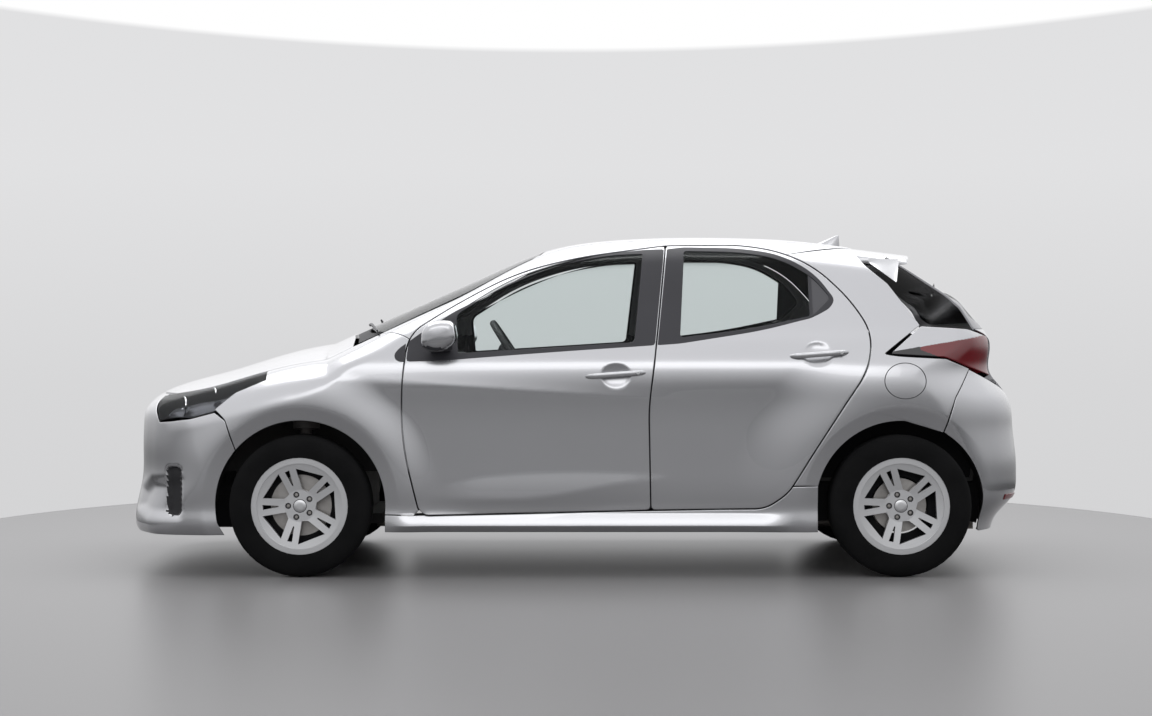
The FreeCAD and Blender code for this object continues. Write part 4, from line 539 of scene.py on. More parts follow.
def ruled(first, second, pitch=12.0):
    """A grid of straight lines from one line to another, close together at both."""
    gap = np.linalg.norm(second - first, axis=1)
    rows = int(np.max(gap) / pitch)
    s = (spaced(gap, rows) / np.maximum(gap, 1e-6)[:, None]).T[..., None]
    return first * (1 - s) + second * s


def rim_distance(grid, closed=False):
    """Distance of each grid point from the nearest edge of its grid."""
    d = np.minimum(np.linalg.norm(grid - grid[:1], axis=-1), np.linalg.norm(grid - grid[-1:], axis=-1))
    if not closed:
        d = np.minimum(d, np.linalg.norm(grid - grid[:, :1], axis=-1))
        d = np.minimum(d, np.linalg.norm(grid - grid[:, -1:], axis=-1))
    return d


X_WAY, Y_WAY, Z_WAY = np.eye(3)


def lay(grid, way, reach=260.0):
    """A grid laid on the outer form along rays."""
    way = np.asarray(way, float)
    way = way / np.linalg.norm(way, axis=-1, keepdims=True)
    return cast(grid - way * reach * .6, way, reach)


def panel(name, grid, body, mats, depth, into, closed=False, raise_by=0.0, swaps=(), both=True, rolled=True):
    """A body panel as a closed sheet: a grid on the form, its edge rolled in, and a back at a depth.

    mats are for front, back and rim, and depth is a length. into is the way to the back, or None for
    square to the surface; both makes the mirrored piece as well."""
    outside = normals_at(grid)
    lift = raise_by - hem(rim_distance(grid, closed)) if rolled else np.full(grid.shape[:2], raise_by)
    front = grid + outside * lift[..., None]
    back = front - outside * depth if into is None else grid + np.asarray(into, float) * depth
    points, faces, kinds = closed_sheet(front, back, closed)
    return place(name, points, faces, kinds, mats, body, swaps, both)


# materials

def add_node(tree, kind, sockets=None, **traits):
    """A node in a tree; each of its sockets takes a value or another node's output."""
    node = tree.nodes.new("ShaderNode" + kind)
    for trait, value in traits.items():
        setattr(node, trait, value)
    for key, value in (sockets or {}).items():
        if isinstance(value, bpy.types.NodeSocket):
            tree.links.new(value, node.inputs[key])
        else:
            node.inputs[key].default_value = value
    return node


def ramp(tree, share, stops):
    """The colour at a share, between (place, colour) stops."""
    node = add_node(tree, "ValToRGB", {"Fac": share})
    elements = node.color_ramp.elements
    while len(elements) < len(stops):
        elements.new(.5)
    for element, (place_of, colour) in zip(elements, stops):
        element.position = place_of
        element.color = (*colour, 1)
    return node.outputs["Color"]


def new_tree(kind, name):
    """A new material or world, and its node tree."""
    owner = kind.new(name)
    owner.use_nodes = True
    return owner, owner.node_tree


def new_material(name, colour, rough, metal=0.0, second=None, scale=4.0, coat=0.0, bump=0.0, bump_scale=400.0,
                 gloss=.5):
    """A finish with a faint cloudy change of colour and, where asked, a fine grain in its surface."""
    mat, tree = new_tree(bpy.data.materials, name)
    shader = tree.nodes["Principled BSDF"]
    for socket, value in (("Roughness", rough), ("Metallic", metal), ("Coat Weight", coat), ("Coat Roughness", .02),
                          ("Specular IOR Level", gloss)):
        shader.inputs[socket].default_value = value
    where = add_node(tree, "TexCoord").outputs["Object"]
    cloud = add_node(tree, "TexNoise", {"Scale": scale, "Detail": 3, "Vector": where}).outputs["Fac"]
    tree.links.new(ramp(tree, cloud, [(.35, colour), (.65, second or tuple(c * .96 for c in colour))]),
                   shader.inputs["Base Color"])
    if bump:
        grain = add_node(tree, "TexNoise", {"Scale": bump_scale, "Vector": where}).outputs["Fac"]
        push = add_node(tree, "Bump", {"Strength": bump, "Distance": .001, "Height": grain})
        tree.links.new(push.outputs["Normal"], shader.inputs["Normal"])
    mat.diffuse_color = (*colour, 1)
    return mat


def glass_material(name, colour, clear, rough=.01):
    """A thin pane: mostly clear, with a surface gloss that grows at a slant."""
    mat, tree = new_tree(bpy.data.materials, name)
    tree.nodes.clear()
    through = add_node(tree, "BsdfTransparent", {"Color": (*colour, 1)})
    gloss = add_node(tree, "BsdfPrincipled", {"Base Color": (*(c * .1 for c in colour), 1), "Roughness": rough})
    weight = add_node(tree, "Fresnel", {"IOR": 1.5})
    lift = add_node(tree, "Math", {0: weight.outputs["Fac"], 1: 1 - clear}, operation="MAXIMUM")
    mix = add_node(tree, "MixShader", {"Fac": lift.outputs["Value"], 1: through.outputs["BSDF"],
                                       2: gloss.outputs["BSDF"]})
    add_node(tree, "OutputMaterial", {"Surface": mix.outputs["Shader"]})
    return mat


PAINT = new_material("silver_paint", (.375, .378, .392), .27, .90, (.367, .37, .384), 2.0, coat=1.0)
PAINT_SHADE = new_material("silver_trim", (.50, .51, .52), .35, .6, coat=.6)
BLACK_TRIM = new_material("satin_black", (.04, .04, .046), .42, second=(.036, .036, .041), gloss=.25)
GLOSS_BLACK = new_material("gloss_black", (.02, .02, .023), .12, coat=.6)
# black glass at the sides of the tailgate window: its grey colour is a painted sheen that stands in for reflection
TAIL_SIDE_PAINTED_SHEEN = new_material("black_glass_painted_sheen", (.20, .20, .215), .32, coat=.3)
LAMP_SHELL = new_material("lamp_shell", (.24, .24, .255), .3, .5)
QUARTER_PANE = new_material("dark_pane", (.06, .06, .068), .2)
GRAINED = new_material("grained_plastic", (.03, .03, .033), .6, second=(.025, .025, .027), bump=.25, bump_scale=900,
                       gloss=.25)
DARK_LINING = new_material("dark_lining", (.02, .02, .022), .8)
HEADLINER = new_material("roof_lining", (.30, .30, .31), .95, bump=.2, bump_scale=600)
DOOR_CARD = new_material("door_lining", (.05, .05, .055), .75, bump=.2, bump_scale=500)
PAINTED = [PAINT, DARK_LINING, PAINT]
WINDOW_GLASS = glass_material("window_glass", (.962, .985, .982), .97)
TAIL_GLASS = glass_material("tinted_glass", (.20, .215, .23), .80, .15)
RUBBER = new_material("tyre_rubber", (.006, .0062, .0065), .85, second=(.009, .009, .0095), scale=9, bump=.3,
                      bump_scale=700, gloss=.08)
ALLOY = new_material("wheel_silver", (.50, .505, .515), .34, .75, coat=.5)
STEEL = new_material("brake_steel", (.32, .31, .30), .42, .9, second=(.24, .23, .22), scale=14)
CAST = new_material("cast_iron", (.16, .155, .15), .75, .3, second=(.11, .10, .095), scale=18, bump=.4)
UNDERSIDE = new_material("underbody_coating", (.03, .03, .031), .85, second=(.045, .042, .04), scale=6, bump=.4,
                         bump_scale=250)
EXHAUST_STEEL = new_material("exhaust_steel", (.26, .25, .24), .5, .8, second=(.18, .165, .15), scale=11)
LINER = new_material("liner_plastic", (.012, .012, .013), .9, bump=.4, bump_scale=300, gloss=.1)
CLOTH = new_material("seat_cloth", (.045, .046, .05), .95, second=(.06, .06, .065), scale=30, bump=.5,
                     bump_scale=1400)
DASH = new_material("dash_plastic", (.045, .045, .048), .65, bump=.25, bump_scale=800)
LENS = glass_material("clear_lens", (.93, .94, .95), .90)
CHROME = new_material("reflector", (.75, .76, .78), .12, 1.0)
# a near-black for the seam round each wheel cap, and painted shade in the rims' bolt holes
DARK_SEAM_AND_SHADE = new_material("dark_seam_and_painted_shade", (.06, .06, .065), .3, coat=.5)
RED_LENS = new_material("red_lens", (.17, .005, .010), .18, second=(.14, .004, .008), coat=.4)
SMOKED = new_material("smoked_lens", (.008, .007, .008), .18, coat=.3)
PLATE_WHITE = new_material("blank_plate", (.72, .72, .71), .45)


# outlines of the body's pieces, as (station, level, round)
FRONT_DOOR_SHARES = [(1.583, 1.122, .06), (1.200, 1.094, .25), (1.172, 1.46, 1), (1.169, 1.76, 1),
                     (1.180, 2.09, .6), (1.264, 2.377, 1), (1.357, 2.635, 1), (1.459, 2.776, 1),
                     (1.6112, 2.889, .04), (1.592, 1.98, 1), (1.5797, 1.66, .5)]
REAR_DOOR_SHARES = [(1.585, 1.122, .06), (1.5817, 1.66, .5), (1.594, 1.98, 1), (1.6132, 2.889, .04),
                    (1.739, 2.897, .9), (1.807, 2.836, 1), (1.866, 2.683, 1), (1.921, 2.393, 1),
                    (1.954, 2.10, .9), (1.944, 1.863, 1), (1.909, 1.70, .6), (1.854, 1.43, .6),
                    (1.812, 1.215, .7), (1.775, 1.131, .8)]
BOTH_DOORS_SHARES = (FRONT_DOOR_SHARES[1:8] + [(1.6112, 2.889, .2)] + REAR_DOOR_SHARES[4:]
                     + [(1.585, 1.122, .2)])
FRONT_GLASS_SHARES = [(1.262, 1.952, .1), (1.258, 2.265, .3), (1.352, 2.580, 1), (1.448, 2.742, 1),
                      (1.526, 2.808, 1), (1.573, 2.816, .1), (1.557, 2.018, .1)]
REAR_GLASS_SIDE_SHARES = [(1.643, 2.843, .1), (1.738, 2.833, 1), (1.805, 2.773, 1),
                          (1.860, 2.60, .8), (1.888, 2.42, .3), (1.857, 2.256, .5),
                          (1.750, 2.135, 1), (1.633, 2.060, .1)]
FRONT_TRIM_SHARES = [(1.176, 1.908, .3), (1.1795, 2.026, .3), (1.204, 2.119, .5), (1.230, 2.208, .6),
                     (1.257, 2.300, .6), (1.298, 2.406, 1), (1.370, 2.590, 1), (1.438, 2.728, 1),
                     (1.508, 2.816, 1), (1.574, 2.855, .3), (1.6098, 2.862, .05), (1.5915, 1.995, .05),
                     (1.439, 1.962, 1), (1.344, 1.940, 1), (1.231, 1.912, 1)]
REAR_TRIM_SHARES = [(1.6142, 2.862, .05), (1.643, 2.880, .3), (1.738, 2.872, 1), (1.807, 2.816, 1),
                    (1.864, 2.640, 1), (1.896, 2.400, .9), (1.886, 2.320, .8), (1.860, 2.245, .8),
                    (1.774, 2.122, 1), (1.633, 2.006, .6), (1.5952, 1.995, .05)]
PATCH_SHARES = [(1.156, 1.949, .9), (1.158, 1.918, .8), (1.1665, 1.906, .3), (1.1735, 1.906, .1),
                (1.1755, 2.012, .1), (1.164, 1.980, .6)]
DOOR_DEPTH, FLANGE, FRAME_DEPTH = 110.0, 20.0, 42.0
FLANGE_END, BOX_START = 26, 34
BOX_TOP, FRAME_BLEND, LINING_TOP = BELT - 50, 60, BELT + 40
TRIM_DEPTH, TRIM_LIFT, GLASS_INSET, GLASS_DEPTH = 7.0, .9, 3.5, 4.0


def inner_ring(line, centre, outer):
    """The points of a closed line that lie on the rays from a centre to each outer point."""
    arm, out = line - centre, outer - centre
    want = np.arctan2(out[:, 1], out[:, 0])
    r = np.interp(want, np.arctan2(arm[:, 1], arm[:, 0]), np.linalg.norm(arm, axis=1), period=2 * math.pi)
    return centre + np.stack([np.cos(want), np.sin(want)], 1) * r[:, None]


def closed_evenly(line, pitch):
    """A closed line resampled to points at even distances."""
    line = np.concatenate([line, line[:1]])
    return evenly(line, int(lengths(line)[-1] / pitch) + 1)[:-1]


def ring_between(outer, inner, centre, pitch, across_pitch):
    """A flat grid between two closed lines, along rays from a centre."""
    outer = closed_evenly(outer, pitch)
    return ruled(outer, inner_ring(closed_evenly(inner, 3.0), centre, outer), across_pitch)


def ring_panel(name, outer, inner, centre, pitches, body, mats, depth, raise_by=0.0, swaps=(), back_rows=14):
    """A closed ring between two side view lines: a fine front, and a back of fewer rows straight inwards.

    depth is a length or a function of (points, distance to the edge)."""
    grid = spread(on_side, ring_between(outer, inner, centre, *pitches))
    n, columns = grid.shape[:2]
    d = rim_distance(grid, True)
    front = grid + normals_at(grid) * (raise_by - hem(d))[..., None]
    rows = np.concatenate([[0, 4], np.linspace(5, n - 6, back_rows), [n - 5, n - 1]])
    rows = np.unique(np.round(rows).astype(int))
    deep = depth(grid, d) if callable(depth) else np.full(d.shape, float(depth))
    back = (front + Y_WAY * deep[..., None])[rows]
    points = np.concatenate([front.reshape(-1, 3), back.reshape(-1, 3)])
    start, low, high = n * columns, (n - 1) * columns, (n + len(rows) - 1) * columns
    ring = np.arange(columns)
    after = np.roll(ring, -1)
    faces = [grid_faces(n, columns, True), grid_faces(len(rows), columns, True, start, True),
             np.stack([ring, start + ring, start + after, after], 1),
             np.stack([low + after, high + after, high + ring, low + ring], 1)]
    kinds = np.repeat([0, 1, 0], [len(faces[0]), len(faces[1]), 2 * columns])
    faces = np.concatenate(faces)
    if len(mats) > 2:
        kinds = np.where((kinds == 1) & (points[faces].mean(1)[:, 2] > LINING_TOP), 2, kinds)
    place(name, points, faces, kinds, mats, body, swaps)


def door_depth(grid, d):
    """A thin edge all round, a thick box inside it, and a thinner frame round the window."""
    z = grid[..., 2]
    full = FRAME_DEPTH + (DOOR_DEPTH - FRAME_DEPTH) * fade((z - BOX_TOP) / FRAME_BLEND)
    return FLANGE + (full - FLANGE) * ease(d, FLANGE_END, BOX_START)


DOORS = (("front", FRONT_DOOR_SHARES, FRONT_GLASS_SHARES, FRONT_TRIM_SHARES, (x_at(1.43), z_at(2.38))),
         ("rear", REAR_DOOR_SHARES, REAR_GLASS_SIDE_SHARES, REAR_TRIM_SHARES, (x_at(1.745), z_at(2.47))))
for end, door, glass, _, centre in DOORS:
    ring_panel(end + "_door", side_line(door), side_line(glass, 9), centre, (13.0, 13.5), "door_" + end,
               [PAINT, DOOR_CARD, HEADLINER], door_depth, swaps=["door_" + end])
for end, _, glass, trim, centre in DOORS:
    ring_panel(end + "_window_trim", side_line(trim), side_line(glass, -1), centre, (11.0, 14.0), "door_" + end,
               [BLACK_TRIM] * 2, TRIM_DEPTH, TRIM_LIFT, back_rows=3)


def filled(outer, first, second, pitch, rows):
    """A flat grid of straight lines between the two halves of a closed line, from one corner to another."""
    upper, lower = (piece_of(outer, first, second, shorter) for shorter in (True, False))
    return ruled(*matched(upper, lower, pitch=pitch), rows)


def glass_pane(name, shares, first, second, body, node):
    """A side window: its outline filled from its front to its rear corner, set in behind the trim."""
    grid = spread(on_side, filled(side_line(shares), *share_points([first, second]), 18.0, 20.0))
    panel(name, grid + Y_WAY * GLASS_INSET, body, [WINDOW_GLASS] * 3, GLASS_DEPTH, Y_WAY, swaps=[node],
          rolled=False)


glass_pane("front_window", FRONT_GLASS_SHARES, (1.262, 1.952), (1.573, 2.816), "door_front", "glass_front")
glass_pane("rear_window", REAR_GLASS_SIDE_SHARES, (1.888, 2.42), (1.633, 2.060), "door_rear", "glass_rear")

# body side: rail, quarter, sill and fender, each between two lines that are matched

def arc(centre, first, last, count=40):
    """A stretch of a wheel opening in the side view, between two angles in degrees."""
    a = np.radians(np.linspace(first, last, count))
    return np.stack([centre + ARCH_OPENING * np.cos(a), TYRE_RADIUS + ARCH_OPENING * np.sin(a)], 1)


def side_path(line):
    """Points of the left surface along a line in the side view."""
    return spread(on_side, line)


def plan_points(shares):
    """Ground plan points from (station, share of half width) of the left side."""
    p = np.array(shares, float)
    return np.stack([x_at(p[:, 0]), -p[:, 1] * HALF], 1)


def top_path(shares):
    """Surface points over a line through (station, share of half width) places."""
    return spread(on_top, evenly(plan_points(shares), 80))


def stretches(pairs, pitch=14.0):
    """Two long lines from pairs of shorter ones, each pair resampled alike; the ends stay close together."""
    firsts, seconds = [], []
    for i, (a, b) in enumerate(pairs):
        count = max(int(max(lengths(a)[-1], lengths(b)[-1]) / pitch), 2)
        firsts.append(evenly(a, count + 1)[min(i, 1):])
        seconds.append(evenly(b, count + 1)[min(i, 1):])
    first, second = joined(*firsts), joined(*seconds)
    ends, base = lengths(first), np.arange(len(first), dtype=float)
    tight = np.interp(np.concatenate([EDGE[1:], ends[-1] - EDGE[1:]]), ends, base)
    spots = np.sort(np.concatenate([base, tight]))
    return [np.stack([np.interp(spots, base, column) for column in line.T], 1) for line in (first, second)]


doors_line = side_line(BOTH_DOORS_SHARES, GAP)


def door_edge(first, last):
    """The body's edge round both doors between two (station, level) places."""
    return side_path(evenly(piece_of(doors_line, *share_points([first, last])), 60))


# the roof rail with the front pillar
rail_grid = ruled(*stretches([
    (door_edge((1.176, 2.06), (1.357, 2.645)), top_path([(1.128, .792), (1.25, .7635), (1.385, .657)])),
    (door_edge((1.357, 2.645), (1.60, 2.90)), top_path([(1.385, .657), (1.395, .6150), (1.60, .6115)])),
    (door_edge((1.60, 2.90), (1.82, 2.81)), top_path([(1.60, .6115), (1.930, .6115)]))]), 9.0)
rail_grid = lay(rail_grid, (0, 1, -1.0))
panel("roof_rail", rail_grid, "body", PAINTED, 26.0, (0, 1, -.35), swaps=["side_frame"])

# the rear quarter, round the lamp's tip and over the wheel

def back_path(shares):
    """Surface points of the side along (station, level) places."""
    return side_path(evenly(share_points(shares), 40))


ditch_end = top_path([(1.930, .6115), (1.9315, .6115)])[-1:]
gate_side = joined(ditch_end, back_path([(1.938, 2.80), (1.952, 2.70), (1.986, 2.545)]))
quarter_grid = ruled(*stretches([
    (door_edge((1.82, 2.81), (1.905, 2.49)), gate_side),
    (door_edge((1.905, 2.49), (1.950, 2.15)), back_path([(1.986, 2.545), (2.157, 2.172)])),
    (door_edge((1.950, 2.15), (1.952, 1.98)), back_path([(2.157, 2.172), (1.974, 1.953)])),
    (door_edge((1.952, 1.98), (1.947, 1.88)), back_path([(1.974, 1.953), (1.980, 1.937), (2.335, 1.922)])),
    (door_edge((1.947, 1.88), (1.935, 1.79)), back_path([(2.335, 1.922), (2.522, 1.869)])),
    (door_edge((1.935, 1.79), (1.908, 1.69)),
     side_path(joined(share_points([(2.522, 1.869), (2.40, 1.720)]), arc(X_REAR, 60, 60, 1)))),
    (door_edge((1.908, 1.69), (1.904, 1.672)), side_path(arc(X_REAR, 60, 92))),
    (door_edge((1.904, 1.672), (1.822, 1.250)), side_path(arc(X_REAR, 92, 166.6)))]), 14.0)
quarter_grid = lay(quarter_grid, (-.12, 1, -.25))
panel("rear_quarter", quarter_grid, "body", PAINTED, 18.0, (-.05, 1, -.1))

# the sill
SILL_HEAD, SILL_FOOT = 262.0, 189.0
front_x = X_FRONT + math.sqrt(ARCH_OPENING ** 2 - (TYRE_RADIUS - SILL_HEAD) ** 2)
rear_x = X_REAR - ARCH_OPENING * math.cos(math.radians(13.4))
sill_top = joined(np.array([[front_x, SILL_HEAD], [x_at(1.19), SILL_HEAD]]),
                  piece_of(doors_line, *share_points([(1.205, 1.088), (1.822, 1.245)])),
                  np.array([[rear_x, z_at(1.2475)]]))
sill_low = np.array([[front_x, SILL_FOOT], [rear_x + 8, SILL_FOOT]])
upper, lower = matched(sill_top, sill_low, pitch=15)
lower = np.stack([np.clip(upper[:, 0], front_x, rear_x + 8), lower[:, 1]], 1)
panel("sill", spread(on_side, ruled(upper, lower, 5.0)), "body", PAINTED, 120.0, Y_WAY)

# the front fender
HOOD_OUTLINE = [(0.02, 0.0, .9), (0.055, .35, .9), (0.19, .64, .9), (0.42, .775, .8), (0.75, .800, 1),
                (1.03, .822, .9), (1.082, .800, .3), (1.078, .55, 1), (1.068, .30, 1), (1.064, 0.0, 1)]
hood_edge = plan_line(HOOD_OUTLINE, GAP)


def hood_side(first, last):
    """The fender's edge beside the hood between two (station, share of half width) places."""
    return spread(on_top, evenly(piece_of(hood_edge, *plan_points([first, last])), 60))


def front_arch(first, last):
    """Surface points along the front wheel opening."""
    return side_path(arc(X_FRONT, first, last))


SEAM_ANGLE = 139.0
fender_grid = ruled(*stretches([
    (back_path([(0.540, 1.657), (0.650, 1.745)]),
     side_path(joined(share_points([(0.540, 1.655), (.60, 1.60)]), arc(X_FRONT, SEAM_ANGLE, SEAM_ANGLE, 1)))),
    (joined(back_path([(0.650, 1.745), (0.815, 1.814)]), hood_side((.80, .805), (.82, .806))),
     front_arch(SEAM_ANGLE, 100)),
    (hood_side((.82, .806), (1.06, .822)), front_arch(100, 66)),
    (joined(hood_side((1.06, .822), (1.083, .806)), top_path([(1.095, .80), (1.1265, .794)])), front_arch(66, 56)),
    (rail_grid[::-1, 0] + (-1.6, 0, -1.2), front_arch(56, 48)),
    (door_edge((1.1745, 2.03), (1.168, 1.46)), front_arch(48, 14)),
    (door_edge((1.168, 1.46), (1.192, 1.11)),
     side_path(joined(arc(X_FRONT, 14, -6), np.array([[x_at(1.17), 264.0], [x_at(1.19), 264.0]]))))]), 14.0)
fender_grid = lay(fender_grid, (0.05, 1, -.3))
panel("front_fender", fender_grid, "body", PAINTED, 7.0, (0, 1, -.2))
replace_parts(bpy.data.objects["front_fender_left"], "front_fenders")
patch = filled(side_line(PATCH_SHARES), *share_points([(1.156, 1.949), (1.1755, 1.96)]), 8, 10.0)
panel("mirror_patch", spread(on_side, patch), "body", [BLACK_TRIM] * 3, GLASS_DEPTH, Y_WAY,
      raise_by=TRIM_LIFT)


# top and ends: grids between a front and a rear line, laid from above

def bent_line(shares):
    """A smooth line across the plan, the same on both sides, through (station, share of half width) points."""
    p = plan_points(shares)
    order = np.argsort(p[:, 1])
    y = np.linspace(p[order[0], 1], 0, 60)
    left = np.stack([smooth(p[order, 1], p[order, 0])(y), y], 1)
    return joined(left, (left[::-1] * (1, -1))[1:])


def top_grid(front, rear, pitch=16.0, along_pitch=16.0):
    """A grid on the top of the body between a front and a rear line of the ground plan."""
    return spread(on_top, ruled(*matched(front, rear, pitch=pitch), along_pitch))


roof_grid = top_grid(bent_line([(1.399, .6065), (1.406, .35), (1.4095, 0)]),
                     bent_line([(1.9290, .6065), (1.931, .35), (1.9318, 0)]))
panel("roof", roof_grid, "body", [PAINT, HEADLINER, PAINT], 22.0, -Z_WAY, both=False, swaps=["roof_panel"])
screen_grid = top_grid(bent_line([(1.1345, .776), (1.118, .66), (1.102, .35), (1.098, 0)]),
                       bent_line([(1.3935, .640), (1.404, .35), (1.407, 0)]))
panel("windscreen_glass", screen_grid, "body", [WINDOW_GLASS] * 3, 5.0, (.41, 0, -.91), both=False,
      swaps=["windscreen"], rolled=False)
corners = plan_points([(1.081, .800), (1.081, -.800)])
hood_front, hood_rear = (piece_of(plan_line(HOOD_OUTLINE), *corners, shorter) for shorter in (False, True))
HOOD_FOOT = z_at(1.735)
hood_front = evenly(hood_front, 300)
hood_front[:, 0] = np.maximum(hood_front[:, 0], on_front(hood_front[:, 1], HOOD_FOOT)[:, 0])
panel("hood_panel", top_grid(hood_front, hood_rear), "hood", PAINTED, 20.0, -Z_WAY, both=False,
      swaps=["hood"])


# nose and tail: bumpers, lamps, tailgate

def polar_path(cx, z, first, end):
    """Surface points at one height, seen from a place on the middle line, from an angle round to the middle.

    end is -1 for the nose and 1 for the tail, where 0 degrees points."""
    turn = np.radians(np.linspace(first, 0, 160))
    way = np.stack([end * np.cos(turn), -np.sin(turn), 0 * turn], -1)
    return cast((cx, 0, z) + way * 1100, -way, 1090.0, 40)


def across(pairs, pitch, rows):
    """A grid over both sides of the car from matched pairs of left-side lines that end on the middle line."""
    left = ruled(*stretches(pairs, pitch), rows)
    return np.concatenate([left, (left[:, ::-1] * (1, -1, 1))[:, 1:]], 1)


def inward(grid, cx):
    """Level directions from each point towards an upright line on the middle of the car."""
    return np.stack([cx - grid[..., 0], -grid[..., 1], 0 * grid[..., 2]], -1)


def box_mask(a, b, box, radius, edge):
    """1 inside a rounded box of the (a, b) plane, 0 outside, rising over a soft edge."""
    (a0, a1), (b0, b1) = box
    da = np.abs(a - (a0 + a1) / 2) - (a1 - a0) / 2 + radius
    db = np.abs(b - (b0 + b1) / 2) - (b1 - b0) / 2 + radius
    d = np.hypot(np.maximum(da, 0), np.maximum(db, 0)) + np.minimum(np.maximum(da, db), 0) - radius
    t = np.clip(.5 - d / edge, 0, 1)
    return t * t * (3 - 2 * t)


def line_mask(a, b, corners, edge):
    """1 inside a closed line of corners, 0 outside, rising over a soft edge: distance to the nearest side."""
    p = np.array(corners, float)
    q = np.roll(p, -1, 0)
    best = np.full(np.shape(a), 1e9)
    odd = np.zeros(np.shape(a), bool)
    for (x0, z0), (x1, z1) in zip(p, q):
        t = np.clip(((a - x0) * (x1 - x0) + (b - z0) * (z1 - z0)) / ((x1 - x0) ** 2 + (z1 - z0) ** 2), 0, 1)
        best = np.minimum(best, np.hypot(a - x0 - t * (x1 - x0), b - z0 - t * (z1 - z0)))
        crosses = (z0 > b) != (z1 > b)
        odd ^= crosses & (a < x0 + (x1 - x0) * (b - z0) / (z1 - z0 if z1 != z0 else 1e-9))
    t = np.clip(.5 + np.where(odd, best, -best) / edge, 0, 1)
    return t * t * (3 - 2 * t)


def centres(mesh):
    """The middle of each face, in millimetres."""
    middle = np.zeros(len(mesh.polygons) * 3)
    mesh.polygons.foreach_get("center", middle)
    return middle.reshape(-1, 3) / MM


def paint_where(piece, number, test):
    """Gives the front faces whose middles pass a test another of the piece's materials."""
    kinds = np.zeros(len(piece.data.polygons), np.int32)
    piece.data.polygons.foreach_get("material_index", kinds)
    kinds[(kinds == 0) & test(*centres(piece.data).T)] = number
    piece.data.polygons.foreach_set("material_index", kinds)


def capped(name, grid, tips, body, mats, auto):
    """A closed surface through closed rows of points, its two ends each drawn to a tip."""
    n, columns = grid.shape[:2]
    points = np.concatenate([grid.reshape(-1, 3), tips])
    faces = grid_faces(n, columns, True)
    turned = outward(points, faces)
    ring, high = np.arange(columns), (n - 1) * columns
    after = np.roll(ring, -1)
    caps = np.concatenate([np.stack([after, ring, np.full(columns, n * columns)], 1),
                           np.stack([high + ring, high + after, np.full(columns, n * columns + 1)], 1)])
    flipped = turned[0, 1] != faces[0, 1]
    return build(name, points, [turned, caps[:, ::-1] if flipped else caps], None, mats, body, auto)


def tube(name, rows, body, mats, swaps=(), auto=SHARP):
    """A closed surface through closed rows of points, its two ends drawn together to their middles."""
    rows = np.asarray(rows, float)
    ends = rows[[0, -1]].mean(1)
    near = ends[:, None] * .999 + rows[[0, -1]] * .001
    piece = capped(name, np.concatenate([near[:1], rows, near[1:]]), ends, body, mats, auto)
    if swaps:
        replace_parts(piece, *swaps)
    return piece


def both_tubes(name, rows, body, mats, swaps=(), auto=SHARP):
    """The same closed surface on the left and, mirrored, on the right."""
    return [tube(name + tag, np.asarray(rows) * (1, way, 1), body if body == "body" else body + tag, mats,
                 [s + tag for s in swaps], auto) for tag, way in (("_left", 1), ("_right", -1))]


def oval(a, b, count, power=2.6):
    """A closed rounded-box line of half sizes a and b: a circle whose sine and cosine are drawn outwards."""
    c, s = np.cos(turns(count)), np.sin(turns(count))
    return np.stack([a * np.sign(c) * np.abs(c) ** (2 / power), b * np.sign(s) * np.abs(s) ** (2 / power)], 1)


def swept(path, out, a, b, count=20):
    """Rows for a bar along a path: an oval at each point, a along the out direction and b across it."""
    ahead = np.gradient(path, axis=0)
    ahead /= np.linalg.norm(ahead, axis=1, keepdims=True)
    side = np.cross(ahead, out)
    side /= np.linalg.norm(side, axis=1, keepdims=True)
    out = np.cross(side, ahead)
    shape = oval(1, 1, count)
    a, b = (np.broadcast_to(v, len(path))[:, None, None] for v in (a, b))
    return path[:, None] + out[:, None] * shape[None, :, :1] * a + side[:, None] * shape[None, :, 1:] * b


def bar(name, path, out, a, b, body, mat):
    """A bar along a path as a piece."""
    return tube(name, swept(path, out, a, b), body, [mat], auto=60)


def lathe(at, axis, first, second, profile, count):
    """Rows of a turned form: round a place, a ring of each (radius, distance along the axis)."""
    turn = turns(count)[:, None]
    ring = np.cos(turn) * first + np.sin(turn) * second
    return np.array([at + axis * h + r * ring for r, h in profile])


def unit(v):
    """A direction at length 1."""
    return v / np.linalg.norm(v)


NOSE_MIDDLE, TAIL_MIDDLE = float(x_at(.80)), float(x_at(2.10))
nose_hood = hood_side((.20, .65), (.02, 0))
nose_hood[-1, 1] = 0
nose_line = on_front(nose_hood[:, 1], HOOD_FOOT - 6)
nose_hood = np.where(nose_hood[:, :1] < nose_line[:, :1], nose_line, nose_hood)
nose_foot = polar_path(NOSE_MIDDLE, 175.0, 79, -1)
split = int(np.argmin(np.linalg.norm(nose_foot - (x_at(.15), -.66 * HALF, 175), axis=1)))
front_grid = across([
    (side_path(joined(arc(X_FRONT, 139.6, 139.6, 1), share_points([(.598, 1.595), (.5385, 1.6375)]))),
     front_arch(143, 167)),
    (side_path(share_points([(.5385, 1.6375), (.405, 1.603), (.30, 1.590)])), front_arch(167, 197.5)),
    (joined(side_path(share_points([(.30, 1.590), (.2255, 1.583)])), nose_hood[:1]), nose_foot[:split + 1]),
    (nose_hood, nose_foot[split:])], 11.5, 10.5)
front_grid = lay(front_grid, inward(front_grid, NOSE_MIDDLE))
INTAKE_BOX, GRILLE_BOX, SLOT_BOX = ((-405, 405), (204, 345)), ((-350, 350), (628, 700)), ((-1752, -1690), (262, 466))
SCOOP_CORNERS = [(-1829, 400), (-1881, 357), (-1903, 292), (-1851, 262), (-1699, 255), (-1695, 410)]
NOSE_SIDE = 480


